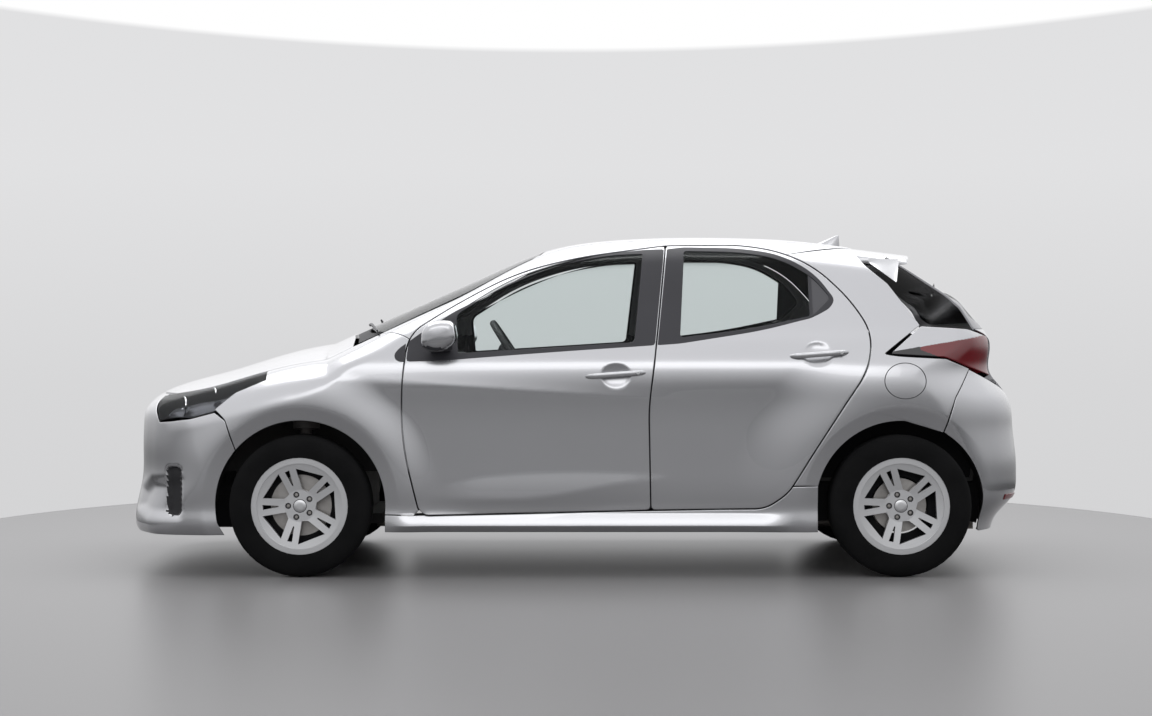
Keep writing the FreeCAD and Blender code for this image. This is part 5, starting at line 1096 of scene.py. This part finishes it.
def nose_dents(x, y, z):
    """How deep the nose is pressed in: the intake, the upper grille, and the side scoops with their slots."""
    return (box_mask(y, z, INTAKE_BOX, 50, 18) * 34 + box_mask(y, z, GRILLE_BOX, 25, 12) * 24
            + (np.abs(y) > NOSE_SIDE) * (line_mask(x, z, SCOOP_CORNERS, 60) * 12
                                         + box_mask(x, z, SLOT_BOX, 18, 14) * 18))


def nose_black(x, y, z):
    """Where the nose is black plastic: the floors of the same dents."""
    return ((box_mask(y, z, INTAKE_BOX, 50, 4) > .5) | (box_mask(y, z, GRILLE_BOX, 25, 4) > .5)
            | ((np.abs(y) > NOSE_SIDE) & (box_mask(x, z, SLOT_BOX, 18, 4) > .5)))


nose_piece = panel("front_bumper_skin", front_grid, "body", PAINTED + [GRAINED], 5.0, None,
                   raise_by=-nose_dents(*np.moveaxis(front_grid, -1, 0)), both=False, swaps=["front_bumper"])[0]
paint_where(nose_piece, 3, nose_black)

# level bars in the intake and the grille, a little under the surface
for name, z, half, inset, tall, mat in (
        *(("intake_slat_%d" % (i + 1), 226 + i * 33, 392 - 8 * abs(i - 1.5), 12, 4.5, BLACK_TRIM) for i in range(4)),
        ("grille_slat", 664, 338, 9, 7.0, PAINT_SHADE)):
    bar(name, on_nose(np.linspace(-half, half, 81), z) + X_WAY * inset, -X_WAY, 5.0, tall, "body", mat)

PLATE_HALF, PLATE_TALL = 260, 55


def plate(name, x, z, out, mat, body, grow=(0, 0)):
    """A blank number plate: a rounded sheet 6 mm thick; out is -1 for the nose and 1 for the tail."""
    half, tall = PLATE_HALF + grow[0], PLATE_TALL + grow[1]
    rows = []
    for thick, drawn_in in ((0, 0), (4, 0), (5.5, -.4), (6, -1.6)):
        ring = oval(half, tall, 96, 14) * (1 + drawn_in / np.array([half, tall]))
        rows.append(np.stack([np.full(96, x + out * thick), ring[:, 0], z + ring[:, 1]], 1))
    tube(name, rows, body, [mat], auto=30)


nose_x = on_nose([0.0], [420.0])[0, 0]
plate("front_plate_rest", nose_x + 8, 424, -1, GRAINED, "body", (8, 11))
plate("front_plate", nose_x - 1, 424, -1, PLATE_WHITE, "body")

# headlamps: a clear lens over a dark housing with bright bowls
lamp_top = hood_side((.20, .65), (.808, .806)) - Y_WAY
lamp_low = side_path(share_points([(.230, 1.590), (.405, 1.611), (.538, 1.646), (.648, 1.742), (.808, 1.807)]))
marks = [0, 14, 28, 38, len(lamp_top) - 1]
lamp_pairs = [(lamp_top[marks[i]:marks[i + 1] + 1], lamp_low[i:i + 2]) for i in range(4)]
lamp_grid = lay(ruled(*stretches(lamp_pairs, 11.0), 11.0), (.5, 1, -.6), 300.0)
lamp_out, from_edge = normals_at(lamp_grid), rim_distance(lamp_grid)
for name, sunk, mat in (("headlamp_lens", hem(from_edge), LENS),
                        ("headlamp_housing", 4 + 48 * ease(from_edge, 0, 26), LAMP_SHELL)):
    front = lamp_grid - lamp_out * sunk[..., None]
    sheet(name, front, front - lamp_out * 2.5, mat)
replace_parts(bpy.data.objects["headlamp_lens_left"], "headlamps")
BOWL_PROFILE = ((1.0, 10), (1.0, 14), (.93, 14), (.86, 8), (.7, -1), (.45, -8), (.2, -11), (.2, -4), (.06, 2))
axis = unit(np.array([-.93, -.36, .05]))
up = unit(np.cross(axis, Y_WAY))
for i, (station, level, size) in enumerate(((.36, 1.70, 44), (.52, 1.755, 40), (.25, 1.66, 26))):
    at = side_path(share_points([(station, level)]))
    rows = lathe((at - normals_at(at) * 34)[0], axis, size * up, size * np.cross(axis, up), BOWL_PROFILE, 36)
    both_tubes("headlamp_bowl_%d" % (i + 1), rows, "body", [CHROME])

# rear bumper
gate_foot = np.array([[-w * HALF, z_at(level)] for w, level in ((.600, 1.731), (.35, 1.7315), (0.0, 1.7315))])
gate_foot = spread(on_back, evenly(gate_foot, 60))
tail_foot = polar_path(TAIL_MIDDLE, 186.0, 76, 1)
begin = int(np.argmin(np.linalg.norm(tail_foot - side_path(arc(X_REAR, -18.2, -18.2, 1))[0], axis=1)))
split = int(np.argmin(np.abs(tail_foot[:, 1] + .62 * HALF)))
lamp_foot = side_path(share_points([(2.524, 1.864), (2.62, 1.832), (2.72, 1.797)]))
rear_grid = across([
    (side_path(joined(arc(X_REAR, 59.2, 59.2, 1), evenly(share_points([(2.402, 1.716), (2.524, 1.864)]), 20))),
     side_path(arc(X_REAR, 56, -17.5, 60))),
    (joined(lamp_foot, gate_foot[:1]), tail_foot[begin + 1:split + 1]),
    (gate_foot, tail_foot[split:])], 14.0, 13.0)
rear_grid = lay(rear_grid, inward(rear_grid, TAIL_MIDDLE))
DIFFUSER_BOX = ((-520, 520), (150, 262))


def diffuser(y, z, edge):
    """1 in the black panel of the rear bumper, 0 outside."""
    return box_mask(y, z, DIFFUSER_BOX, 40, edge) * (np.abs(y) < 600)


rear_piece = panel("rear_bumper_skin", rear_grid, "body", PAINTED + [GRAINED], 5.0, None,
                   raise_by=-.4 - diffuser(rear_grid[..., 1], rear_grid[..., 2], 26) * 14, both=False,
                   swaps=["rear_bumper"])[0]
paint_where(rear_piece, 3, lambda x, y, z: diffuser(y, z, 4) > .5)
for side, tag in ((-1, "_left"), (1, "_right")):
    path = on_back(np.linspace(side * 560, side * 690, 21), 330.0)
    bar("rear_reflector" + tag, path + X_WAY, normals_at(path), 3.0, 13.0, "body", RED_LENS)

# tail lamps: one lens round the corner, a painted cap on top, dark in front and below, red behind
lamp_up = side_path(joined(evenly(share_points([(1.986, 1.957), (2.163, 2.160)]), 12),
                           evenly(share_points([(2.163, 2.160), (2.51, 2.136), (2.695, 2.070)]), 30)[1:]))
lamp_low = side_path(evenly(share_points([(1.986, 1.950), (2.328, 1.9335), (2.522, 1.8785), (2.712, 1.834)]), 40))
grid = lay(ruled(*matched(lamp_up, lamp_low, pitch=6.0), 5.0), (-.6, 1, 0), 300.0)
normal = normals_at(grid)
points, faces, kinds = closed_sheet(grid + normal * (1.5 - hem(rim_distance(grid)))[..., None], grid - normal * 30)
x, y, z = points[faces].mean(1).T
cap, dark = z > 960 + (x - 1349) * .164, z < 966 - (x - 1473) * .368
kinds = np.where(kinds == 1, 3, np.where(cap, 2, np.where(dark | (x < 1473), 1, 0)))
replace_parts(place("tail_lamp_lens", points, faces, kinds, [RED_LENS, SMOKED, PAINT, DARK_LINING])[0], "tail_lamps")


# tailgate
def rear_line(shares, grow=0.0):
    """A closed line in the rear view, the same on both sides, from (share of half width, level, round)."""
    half = np.array(shares, float)
    right = np.stack([half[:, 0] * HALF, z_at(half[:, 1]), half[:, 2]], 1)
    return rounded(np.concatenate([right, right[::-1] * (-1, 1, 1)]), grow)


GATE_BLACK_SHARES = [(.607, 2.80, .1), (.70, 2.58, .3), (.795, 2.20, .3), (.808, 2.139, .05)]
GATE_CLEAR_SHARES = [(.575, 2.72, .5), (.655, 2.54, .3), (.735, 2.26, .6), (.70, 2.20, .6)]
GATE_RAY = (-.5, 0, -.6)
# the black glass border round the tailgate window, coloured grey as a painted sheen
border = ring_between(rear_line(GATE_BLACK_SHARES), rear_line(GATE_CLEAR_SHARES), (0.0, z_at(2.44)), 10.0, 11.0)
panel("tailgate_glass_border", spread(on_back, border), "tailgate", [TAIL_SIDE_PAINTED_SHEEN] * 3, 9.0, GATE_RAY, closed=True,
      both=False)
clear = filled(rear_line(GATE_CLEAR_SHARES, 2), (-.655 * HALF, z_at(2.54)), (.655 * HALF, z_at(2.54)), 18.0, 16.0)
panel("tailgate_window", spread(on_back, clear) + (-2.0, 0, -2.5), "tailgate", [TAIL_GLASS] * 3, 4.0, GATE_RAY,
      both=False, swaps=["tailgate_glass"], rolled=False)
edge_z = z_at(np.array([2.137, 2.10, 2.05, 2.02, 1.90, 1.80, 1.737]))
edge_y = np.array([.806, .74, .672, .650, .6435, .639, .597]) * HALF
first, last = edge_z[0], edge_z[-1]
z_rows = np.concatenate([first - EDGE, np.linspace(first - 4, last + 4, int((first - last) / 7)), last + EDGE[::-1]])
share = np.concatenate([-1 + EDGE / 560, np.linspace(-.99, .99, 141), 1 - EDGE[::-1] / 560])
grid = on_back(np.interp(-z_rows, -edge_z, edge_y)[:, None] * share, z_rows[:, None])
PLATE_BOX = ((-285, 285), (862, 1000))
panel("tailgate_skin", grid, "tailgate", [PAINT, DOOR_CARD, PAINT], 40.0, (-1, 0, -.1), both=False,
      raise_by=-box_mask(grid[..., 1], grid[..., 2], PLATE_BOX, 14, 18) * 16, swaps=["tailgate"])
plate("rear_plate", on_back([0.0], [925.0])[0, 0] - 15, 925, 1, PLATE_WHITE, "tailgate")
path = on_back(np.linspace(-300, 300, 61), 1008.0)
bar("tailgate_garnish", path + X_WAY * 3, normals_at(path), 9.0, 12.0, "tailgate", PAINT_SHADE)

SPOILER_PARTS = np.array([(1.934, 0.0), (1.99, 0.0), (2.05, 0.0), (2.15, 0.0), (2.215, 0.0), (2.229, .06),
                          (2.226, .22), (2.14, .55), (2.05, .95), (1.934, .80)])
SPOILER_HALF, SPOILER_THICK, SPOILER_ENDS = HALF * .606, 60, .95
rows = []
for share in np.concatenate([[-1, -.995, -.98], np.linspace(-SPOILER_ENDS, SPOILER_ENDS, 45), [.98, .995, 1]]):
    station, rise = SPOILER_PARTS.T
    x, y = x_at(station), SPOILER_HALF * share
    x = x - REAR_OVERHANG * .10 * share ** 2 * (x - x[0]) / (x_at(2.229) - x[0])
    if abs(share) > SPOILER_ENDS:
        rise = .45 + (rise - .45) * (1 - .5 * ((abs(share) - SPOILER_ENDS) / (1 - SPOILER_ENDS)) ** 2)
    z = roof_line(x) - crown(x, y) - 20 * share ** 4 - SPOILER_THICK * rise
    rows.append(np.stack([x, np.full(len(x), y), z], 1))
tube("spoiler", rows, "tailgate", [PAINT], auto=50)
foot = on_side(np.linspace(1274, 1386, 24), np.linspace(1346, 1259, 24)) - Y_WAY * 3
brim = evenly(np.array([foot[0] + (2, 4, 16), (1425, -506, 1366), foot[-1] + (3, 2, 6)]), 24)
fin = ruled(foot, brim, 8.0)
sheet("spoiler_side", fin, fin + Y_WAY * 5, PAINT, "tailgate")


# trim on the body: handles, mirrors, flap, fin, cowl, wipers, pillars

for name, (x0, z0), (x1, z1) in (("front", (43.0, 853.0), (294.0, 871.0)), ("rear", (914.0, 939.0), (1161.0, 957.0))):
    t = np.linspace(0, 1, 41)
    ends = on_side([x0 + 8, x1 - 8], [z0, z1])
    stand, thin = -2 + 18 * (1 - np.abs(2 * t - 1) ** 5), .62 + .38 * (1 - np.abs(2 * t - 1) ** 8)
    path = np.stack([x0 + (x1 - x0) * t, np.interp(t, [0, 1], ends[:, 1]) - stand, z0 + (z1 - z0) * t], 1)
    both_tubes(name + "_handle", swept(path, -Y_WAY, 6.5 * thin, 11.5 * thin, 24), "door_" + name, [PAINT], auto=60)
    rows = lathe(on_side([x1 - 30], [z1 - 2])[0], -Y_WAY, X_WAY, Z_WAY, ((7, 14), (7, 22.5), (6, 23.5), (2, 23.5)), 24)
    both_tubes(name + "_lock", rows, "door_" + name, [PAINT_SHADE])

MIRROR_SHARES = [(1.203, 1.985, .6), (1.206, 2.16, 1), (1.232, 2.215, .9), (1.260, 2.205, .8),
                 (1.266, 2.03, .8), (1.235, 1.950, 1)]
MIRROR_X, MIRROR_Z = -583.0, 1021.0
outline = closed_evenly(side_line(MIRROR_SHARES), 6.0) - (MIRROR_X, MIRROR_Z)
rows = [np.stack([MIRROR_X + outline[:, 0] * s, np.full(len(outline), y), MIRROR_Z + outline[:, 1] * s + lift], 1)
        for y, s, lift in ((-832.0, .55, -14), (-834.0, .66, -12), (-840.0, .78, -8), (-852.0, .88, -4),
                           (-875.0, .96, -1), (-905.0, 1.0, 0), (-932.0, .99, 0), (-950.0, .95, 1),
                           (-962.0, .87, 1), (-969.0, .74, 2), (-973.0, .55, 2))]
for piece in both_tubes("door_mirror", rows, "door_front", [PAINT, BLACK_TRIM, CHROME], ["mirror"], auto=50):
    paint_where(piece, 2, lambda x, y, z: (x > -524) & (np.abs(z - MIRROR_Z) < 62) & (np.abs(np.abs(y) - 908) < 50))
    paint_where(piece, 1, lambda x, y, z: z + (x - MIRROR_X) * .12 < 978)
foot = closed_evenly(rounded([(-636, 950, .8), (-618, 985, .8), (-548, 990, .8), (-536, 958, .8)]), 6.0)
rows = [np.stack([foot[:, 0] + t * 16, np.full(len(foot), -768 - 90 * t), foot[:, 1] + 8 * t], 1)
        for t in np.linspace(0, 1, 9)]
both_tubes("mirror_foot", rows, "door_front", [BLACK_TRIM], auto=50)

# fuel flap on the left: a dark seam round a slightly crowned disc
FLAP_X, FLAP_Z, FLAP_WIDE, FLAP_TALL = 1400.0, 835.0, 87.0, 74.5
for name, mat, first, last, count, lift in (("fuel_flap_seam", DARK_LINING, 1.0, 1.042, 3, .35),
                                            ("fuel_flap", PAINT, .004, .985, 9, .8)):
    r = np.linspace(first, last, count)[:, None]
    grid = on_side(FLAP_X + FLAP_WIDE * r * np.cos(turns(120)), FLAP_Z + FLAP_TALL * r * np.sin(turns(120)))
    sheet(name, grid + normals_at(grid) * lift, grid + Y_WAY * 2.0, mat, closed=True, both=False)

rows = []
for t in np.concatenate([np.linspace(0, .9, 12), [.95, .98, 1.0]]):
    x0 = 1056 + 150 * t ** .8
    x1 = max(1226 - 4 * t, x0 + 8)
    ring = oval((x1 - x0) / 2, 1.5 + 14.5 * (1 - t) ** .75, 32, 2.2)
    rows.append(np.stack([(x0 + x1) / 2 + ring[:, 0], ring[:, 1], np.full(32, 1436 + 57 * t)], 1))
tube("roof_fin", rows, "body", [PAINT], auto=60)

cowl_grid = top_grid(bent_line([(1.0895, .735), (1.0845, .55), (1.0745, .30), (1.0705, 0)]),
                     bent_line([(1.131, .735), (1.1165, .66), (1.1003, .35), (1.0962, 0)]), 14, 8)
panel("cowl_cover", cowl_grid, "body", [GRAINED] * 3, 6.0, -Z_WAY, both=False, raise_by=-9.0, swaps=["cowl_panel"])
WIPER_LIFT, BLADE_DROP = 13, 7
for name, y0, y1 in (("wiper_left", -120.0, -640.0), ("wiper_right", 560.0, -60.0)):
    y = np.linspace(y0, y1, 41)
    path = on_top(x_at(1.1045) + 62 * (y / HALF) ** 2 + np.linspace(-30, 14, 41), y)
    path = path + normals_at(path) * WIPER_LIFT
    bar(name, path, normals_at(path), np.linspace(7, 4, 41), np.linspace(9, 4, 41), "body", BLACK_TRIM)
    blade = path[12:] - normals_at(path[12:]) * BLADE_DROP
    bar(name + "_blade", blade, normals_at(blade), 3.5, 5.0, "body", GLOSS_BLACK)
knob = on_back([0.0], [1236.0])
rows = lathe(knob[0], normals_at(knob)[0], Y_WAY, Z_WAY, ((20, -6), (20, 14), (17, 20), (6, 22)), 30)
tube("rear_wiper_pivot", rows, "tailgate", [GLOSS_BLACK])
path = on_back(np.linspace(0, 330, 31), np.linspace(1232, 1190, 31))
path = path + normals_at(path) * WIPER_LIFT
bar("rear_wiper", path, normals_at(path), 4.0, np.linspace(10, 5, 31), "tailgate", GLOSS_BLACK)

# an upright post on each side between two side view lines, inside the skin by an inset
for name, first, last, inset, depth, mat in (
        ("middle_pillar", [(1.5755, 1.13), (1.5795, 1.98), (1.6015, 2.87)],
         [(1.591, 1.13), (1.595, 1.98), (1.6165, 2.87)], 25.0, 84.0, BLACK_TRIM),
        ("hinge_pillar", [(1.150, 1.13), (1.150, 1.96)], [(1.180, 1.13), (1.178, 1.96)], 34.0, 66.0, PAINT)):
    lines = (evenly(share_points(shares), 60) for shares in (first, last))
    grid = spread(on_side, ruled(*lines, 12.0)) + Y_WAY * inset
    sheet(name, grid, grid + Y_WAY * depth, mat)


def hoop(name, grid, mat, body):
    """A closed ring whose grid joins up both ways."""
    rows, columns = grid.shape[:2]
    i, j = np.meshgrid(np.arange(rows), np.arange(columns), indexing="ij")
    k, m = (i + 1) % rows, (j + 1) % columns
    faces = np.stack([i * columns + j, i * columns + m, k * columns + m, k * columns + j], -1).reshape(-1, 4)
    points = grid.reshape(-1, 3)
    return build(name, points, [outward(points, faces)], None, [mat], body, 60)


# tyres: a rounded section, as (radius, distance across), turned about the axle
TYRE_HALF = [(190.5, -84), (206, -88), (224, -92.0), (250, -93.5), (276, -91), (291, -84), (299, -74), (302, -60)]
TYRE_SECTION = (TYRE_HALF + [(r, -y) for r, y in TYRE_HALF[::-1]])[1:-1]
WHEELS = (("front_left", X_FRONT, -1), ("front_right", X_FRONT, 1), ("rear_left", X_REAR, -1),
          ("rear_right", X_REAR, 1))
for tag, x, side in WHEELS:
    middle = np.array([x, side * TRACK_HALF, TYRE_RADIUS])
    piece = hoop("tyre_" + tag + "_tread", lathe(middle, Y_WAY, X_WAY, Z_WAY, TYRE_SECTION, 48), RUBBER,
                 "wheel_" + tag)
    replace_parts(piece, "tyre_" + tag)

# steering wheel: a grip round a padded boss on three arms
rake = math.radians(33)
axis = np.array([math.cos(rake), 0, math.sin(rake)])
up = np.array([-math.sin(rake), 0, math.cos(rake)])
hub = np.array([-277.0, -370.0, 940.0])
turn, grip = turns(60)[:, None, None], turns(16)[None, :, None]
ring = hub + (172 + 13 * np.cos(grip)) * (np.cos(turn) * Y_WAY + np.sin(turn) * up) + 15 * np.sin(grip) * axis
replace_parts(hoop("steering_grip", ring, DASH, "steering_wheel"), "steering_wheel")
BOSS_PROFILE = ((30, -70), (52, -60), (70, -34), (78, -12), (74, 4), (50, 12), (16, 14))
tube("steering_boss", lathe(hub, axis, Y_WAY * 1.15, up, BOSS_PROFILE, 60), "steering_wheel", [GRAINED], auto=60)
for name, angle in (("left", 172), ("right", 8), ("foot", 270)):
    way = math.cos(math.radians(angle)) * Y_WAY + math.sin(math.radians(angle)) * up
    path = hub + np.linspace(50, 168, 12)[:, None] * way + axis * np.linspace(-6, 0, 12)[:, None]
    bar("steering_arm_" + name, path, axis, 7.0, np.linspace(26, 13, 12), "steering_wheel", GRAINED)

# finishes of the CAD pieces that stay
for names, mat in ((("rim_front_left", "rim_front_right", "rim_rear_left", "rim_rear_right"), ALLOY),
                   (("floor_pan", "front_structure", "front_subframe", "rear_axle_beam", "fuel_tank"), UNDERSIDE),
                   (("arch_liners",), LINER), (("engine_block", "knuckle_left", "knuckle_right"), CAST),
                   (("exhaust",), EXHAUST_STEEL), (("dashboard",), DASH), (("front_seats", "rear_seat"), CLOTH)):
    for name in names:
        nodes[name].data.materials.clear()
        nodes[name].data.materials.append(mat)

# wheels: steel brake faces, bolt holes darkened with painted shade, a domed cap, bolt heads and a dark shield round the
# brake
BRAKE_RADIUS, BRAKE_FACE, HOLE_END, CAP_RADIUS = 134, 804.6, 826, 40
BOLT_CIRCLE, HOLE_HALF, SHIELD_OUT = 50, 14.5, 779.0


def wheel_parts(tag, centre_x, side):
    """Colours one rim's faces by their places and adds the small parts turned about its axle."""
    rim = nodes["rim_" + tag]
    for mat in (STEEL, DARK_SEAM_AND_SHADE):
        rim.data.materials.append(mat)

    def radius(x, z):
        return np.hypot(x - centre_x, z - TYRE_RADIUS)

    paint_where(rim, 1, lambda x, y, z: (radius(x, z) < BRAKE_RADIUS) & (np.abs(y) < BRAKE_FACE))
    # the walls of the bolt holes take the near-black as painted shade
    paint_where(rim, 2, lambda x, y, z: (np.abs(radius(x, z) - BOLT_CIRCLE) < HOLE_HALF)
                & (np.abs(y) > BRAKE_FACE) & (np.abs(y) < HOLE_END))
    x, y, z = centres(rim.data).T
    face = np.abs(y[radius(x, z) < CAP_RADIUS]).max()
    hub, out = np.array([centre_x, 0, TYRE_RADIUS]), side * Y_WAY

    def turned(name, at, profile, mat):
        rows = lathe(hub + at, out, X_WAY, Z_WAY, [(r, face + level) for r, level in profile], 36)
        tube(name + tag, rows, "wheel_" + tag, [mat])

    turned("cap_seam_", 0, ((29, -2), (29, .5), (2, .6)), DARK_SEAM_AND_SHADE)
    turned("cap_", 0, ((26, -2), (26, 1), (24, 2.6), (12, 3.4), (1, 3.6)), ALLOY)
    for k in range(5):
        a = math.radians(36 + 72 * k)
        turned("bolt_%d_" % (k + 1), BOLT_CIRCLE * (math.cos(a) * X_WAY + math.sin(a) * Z_WAY),
               ((8, -22), (8, -6), (6.5, -4.5), (1, -4.2)), STEEL)
    shield = lathe(hub, out, X_WAY, Z_WAY, ((122.0, SHIELD_OUT), (171.0, SHIELD_OUT)), 36)
    sheet("brake_shield_" + tag, shield, shield + out * 2, LINER, "wheel_" + tag, True, False)


for wheel in WHEELS:
    wheel_parts(*wheel)

# the rear side windows' dark rear pane behind its divider
for tag in ("_left", "_right"):
    pane = bpy.data.objects["rear_window" + tag]
    pane.data.materials.append(QUARTER_PANE)
    paint_where(pane, 3, lambda x, y, z: x > 1011)
strip = np.meshgrid(np.linspace(1004, 1018, 4), np.linspace(1106, 1288, 20), indexing="ij")
panel("rear_window_divider", on_side(*strip) + Y_WAY * 1.5, "door_rear", [BLACK_TRIM] * 3, GLASS_DEPTH, Y_WAY,
      rolled=False)

# upright walls inside: ahead of the front wheels, and behind the rear wheels
x, z = np.meshgrid(np.linspace(-1640, -1464, 12), np.linspace(188, 330, 10), indexing="ij")
flat = np.stack([x, np.full(x.shape, -560.0), z], -1)
sheet("front_wall", flat, flat + Y_WAY * 4, LINER)
turn, r = np.radians(np.linspace(-14, 194, 61)), np.linspace(40, 369, 12)[:, None]
flat = np.stack([X_REAR + r * np.cos(turn), np.full((12, 61), -630.0), TYRE_RADIUS + r * np.sin(turn)], -1)
sheet("wheelhouse_wall", flat, flat + Y_WAY * 4, LINER)


# seats: crowned cushions, fuller in the middle of each side than at the corners, with sewn channels

def drawn(w, power):
    """A sine or cosine drawn outwards: its size to a power, with its own sign."""
    return np.sign(w) * np.abs(w) ** power


def cushion(name, middle, half, lean, channels, swaps=()):
    """A stuffed form: an ellipsoid whose sine and cosine are drawn outwards, its corners pulled in a little.

    lean turns it about the car's cross axis, in degrees; channels are lines (axis, place, width, depth)
    pressed into its broad face."""
    u, v = turns(72), np.linspace(-math.pi / 2, math.pi / 2, 56)[1:-1, None]
    x, y = (drawn(np.cos(v), .35) * drawn(w, .42) for w in (np.cos(u), np.sin(u)))
    pull = 1 - .05 * (x * y) ** 2
    p = np.stack([x * pull, y * pull, drawn(np.sin(v), .75) * (1 - .18 * (x ** 2 + y ** 2) / 2)], -1) * half
    for axis, place_of, wide, deep in channels:
        other = np.abs(p[..., axis] - place_of)
        p[..., 2] -= np.sign(p[..., 2]) * deep * np.exp(-(other / wide) ** 2) * (np.abs(p[..., 2]) > half[2] * .4)
    c, s = math.cos(math.radians(lean)), math.sin(math.radians(lean))
    p = np.stack([p[..., 0] * c + p[..., 2] * s, p[..., 1], -p[..., 0] * s + p[..., 2] * c], -1) + middle
    piece = capped(name, p, p[[0, -1]].mean(1), "body", [CLOTH], None)
    if swaps:
        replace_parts(piece, *swaps)


SEAT_LINES = [(1, -128, 7, 7), (1, 128, 7, 7), (0, -90, 5, 5), (0, 20, 5, 5), (0, 120, 5, 5)]
BENCH_LINES = [(1, -210, 8, 8), (1, 210, 8, 8), (1, 0, 5, 4), (0, -60, 5, 5), (0, 70, 5, 5)]
for tag, y in (("left", -370.0), ("right", 370.0)):
    cushion("seat_cushion_" + tag, (150.0, y, 520.0), (265.0, 232.0, 78.0), 5, SEAT_LINES,
            ["front_seats"] if tag == "left" else ())
    cushion("seat_back_" + tag, (530.0, y, 762.0), (240.0, 226.0, 70.0), -64, SEAT_LINES)
cushion("rear_bench", (1010.0, 0.0, 535.0), (235.0, 600.0, 72.0), 5, BENCH_LINES, ["rear_seat"])
cushion("rear_bench_back", (1290.0, 0.0, 765.0), (215.0, 590.0, 62.0), -66, BENCH_LINES)


# the studio: floor, world, lamps and camera

CAMERA_BACK, CAMERA_HEIGHT = 9.83, 1.02
FOCUS_PIXELS, PHOTO_WIDTH, PHOTO_HEIGHT, HORIZON_PIXEL = 2113.0, 1152.0, 716.0, 337.4
FLOOR_HALF, FLOOR_MIDDLE, FLOOR_FRONT, FLOOR_TOP = 3400, 1100, -7000.0, -.6


def studio_world():
    """The round grey wall under a white ceiling, by direction, and a plain light for everything else."""
    world, tree = new_tree(bpy.data.worlds, "studio")
    bpy.context.scene.world = world
    tree.nodes.clear()

    def maths(kind, first, second=0.0, clamp=False):
        return add_node(tree, "Math", {0: first, 1: second}, operation=kind, use_clamp=clamp).outputs[0]

    def grey_ramp(share, stops):
        return ramp(tree, share, [(at, (value, value, value * 1.012)) for at, value in stops])

    def choose(share, first, second):
        return add_node(tree, "Mix", {"Factor": share, "A": first, "B": second}, data_type="RGBA").outputs["Result"]

    where = add_node(tree, "TexCoord").outputs["Generated"]
    x, y, z = add_node(tree, "SeparateXYZ", {0: where}).outputs
    square_x = maths("MULTIPLY", x, x)
    level = maths("ADD", square_x, maths("MULTIPLY", y, y))
    slope = maths("DIVIDE", z, maths("SQRT", level))
    wall_top = maths("ADD", .1346, maths("MULTIPLY", maths("DIVIDE", square_x, level), .2153))
    above = maths("MULTIPLY", maths("SUBTRACT", slope, wall_top), 400.0, True)
    wall = grey_ramp(maths("ADD", slope, .2), [(0, .62), (.18, .68), (.28, .755), (.36, .75)])
    seen = choose(above, wall, (1, 1, 1, 1))
    gloss = grey_ramp(maths("MULTIPLY", maths("ADD", z, 1.0), .5),
                      [(0, .06), (.45, .08), (.475, .35), (.50, .72), (.545, .95), (.60, 1.1), (.72, 1.5), (1, 1.5)])
    ray = add_node(tree, "LightPath").outputs
    light = choose(ray["Is Glossy Ray"], (.62, .62, .63, 1), gloss)
    colour = choose(maths("MAXIMUM", ray["Is Camera Ray"], ray["Is Transmission Ray"]), light, seen)
    glow = add_node(tree, "Background", {"Color": colour})
    add_node(tree, "OutputWorld", {"Surface": glow.outputs["Background"]})


def studio_floor():
    """The floor: a half disc behind the studio's middle with a straight strip before it, as one sheet."""
    mat, tree = new_tree(bpy.data.materials, "studio_floor_paint")
    for socket, value in (("Base Color", (.22, .217, .22, 1)), ("Roughness", .35), ("Specular IOR Level", .25)):
        tree.nodes["Principled BSDF"].inputs[socket].default_value = value
    turn = np.linspace(0, math.pi, 65)
    x, back = FLOOR_HALF * np.cos(turn), FLOOR_MIDDLE + FLOOR_HALF * np.sin(turn)
    share = np.linspace(0, 1, 41)[:, None]
    y = FLOOR_FRONT * (1 - share) + back * share
    top = np.stack([np.broadcast_to(x, y.shape), y, np.full(y.shape, FLOOR_TOP)], -1)
    points, faces, _ = closed_sheet(top, top - (0, 0, 20))
    build("studio_floor", points, [outward(points, faces)], None, [mat])


def soft_lamp(name, at, size, power, aim=(0, 0, .5)):
    """A rectangular lamp turned towards a place."""
    data = bpy.data.lights.new(name, "AREA")
    data.shape = "RECTANGLE"
    data.size, data.size_y = size
    data.energy = power
    lamp = bpy.data.objects.new(name, data)
    bpy.context.collection.objects.link(lamp)
    lamp.location = at
    lamp.rotation_euler = (Vector(aim) - Vector(at)).to_track_quat("-Z", "Y").to_euler()


studio_world()
studio_floor()
soft_lamp("ceiling_light", (0, .3, 4.2), (6.0, 3.2), 150)
soft_lamp("front_light", (0, -6.5, 3.6), (6.0, 2.0), 60)

camera_data = bpy.data.cameras.new("photo_camera")
camera_data.sensor_width = 36.0
camera_data.lens = camera_data.sensor_width * FOCUS_PIXELS / PHOTO_WIDTH
camera_data.shift_y = -(PHOTO_HEIGHT / 2 - HORIZON_PIXEL) / PHOTO_WIDTH
camera = bpy.data.objects.new("photo_camera", camera_data)
bpy.context.collection.objects.link(camera)
camera.location = (0, -CAMERA_BACK, CAMERA_HEIGHT)
camera.rotation_euler = (math.radians(90), 0, 0)
bpy.context.scene.camera = camera
bpy.context.scene.view_settings.view_transform = "Standard"
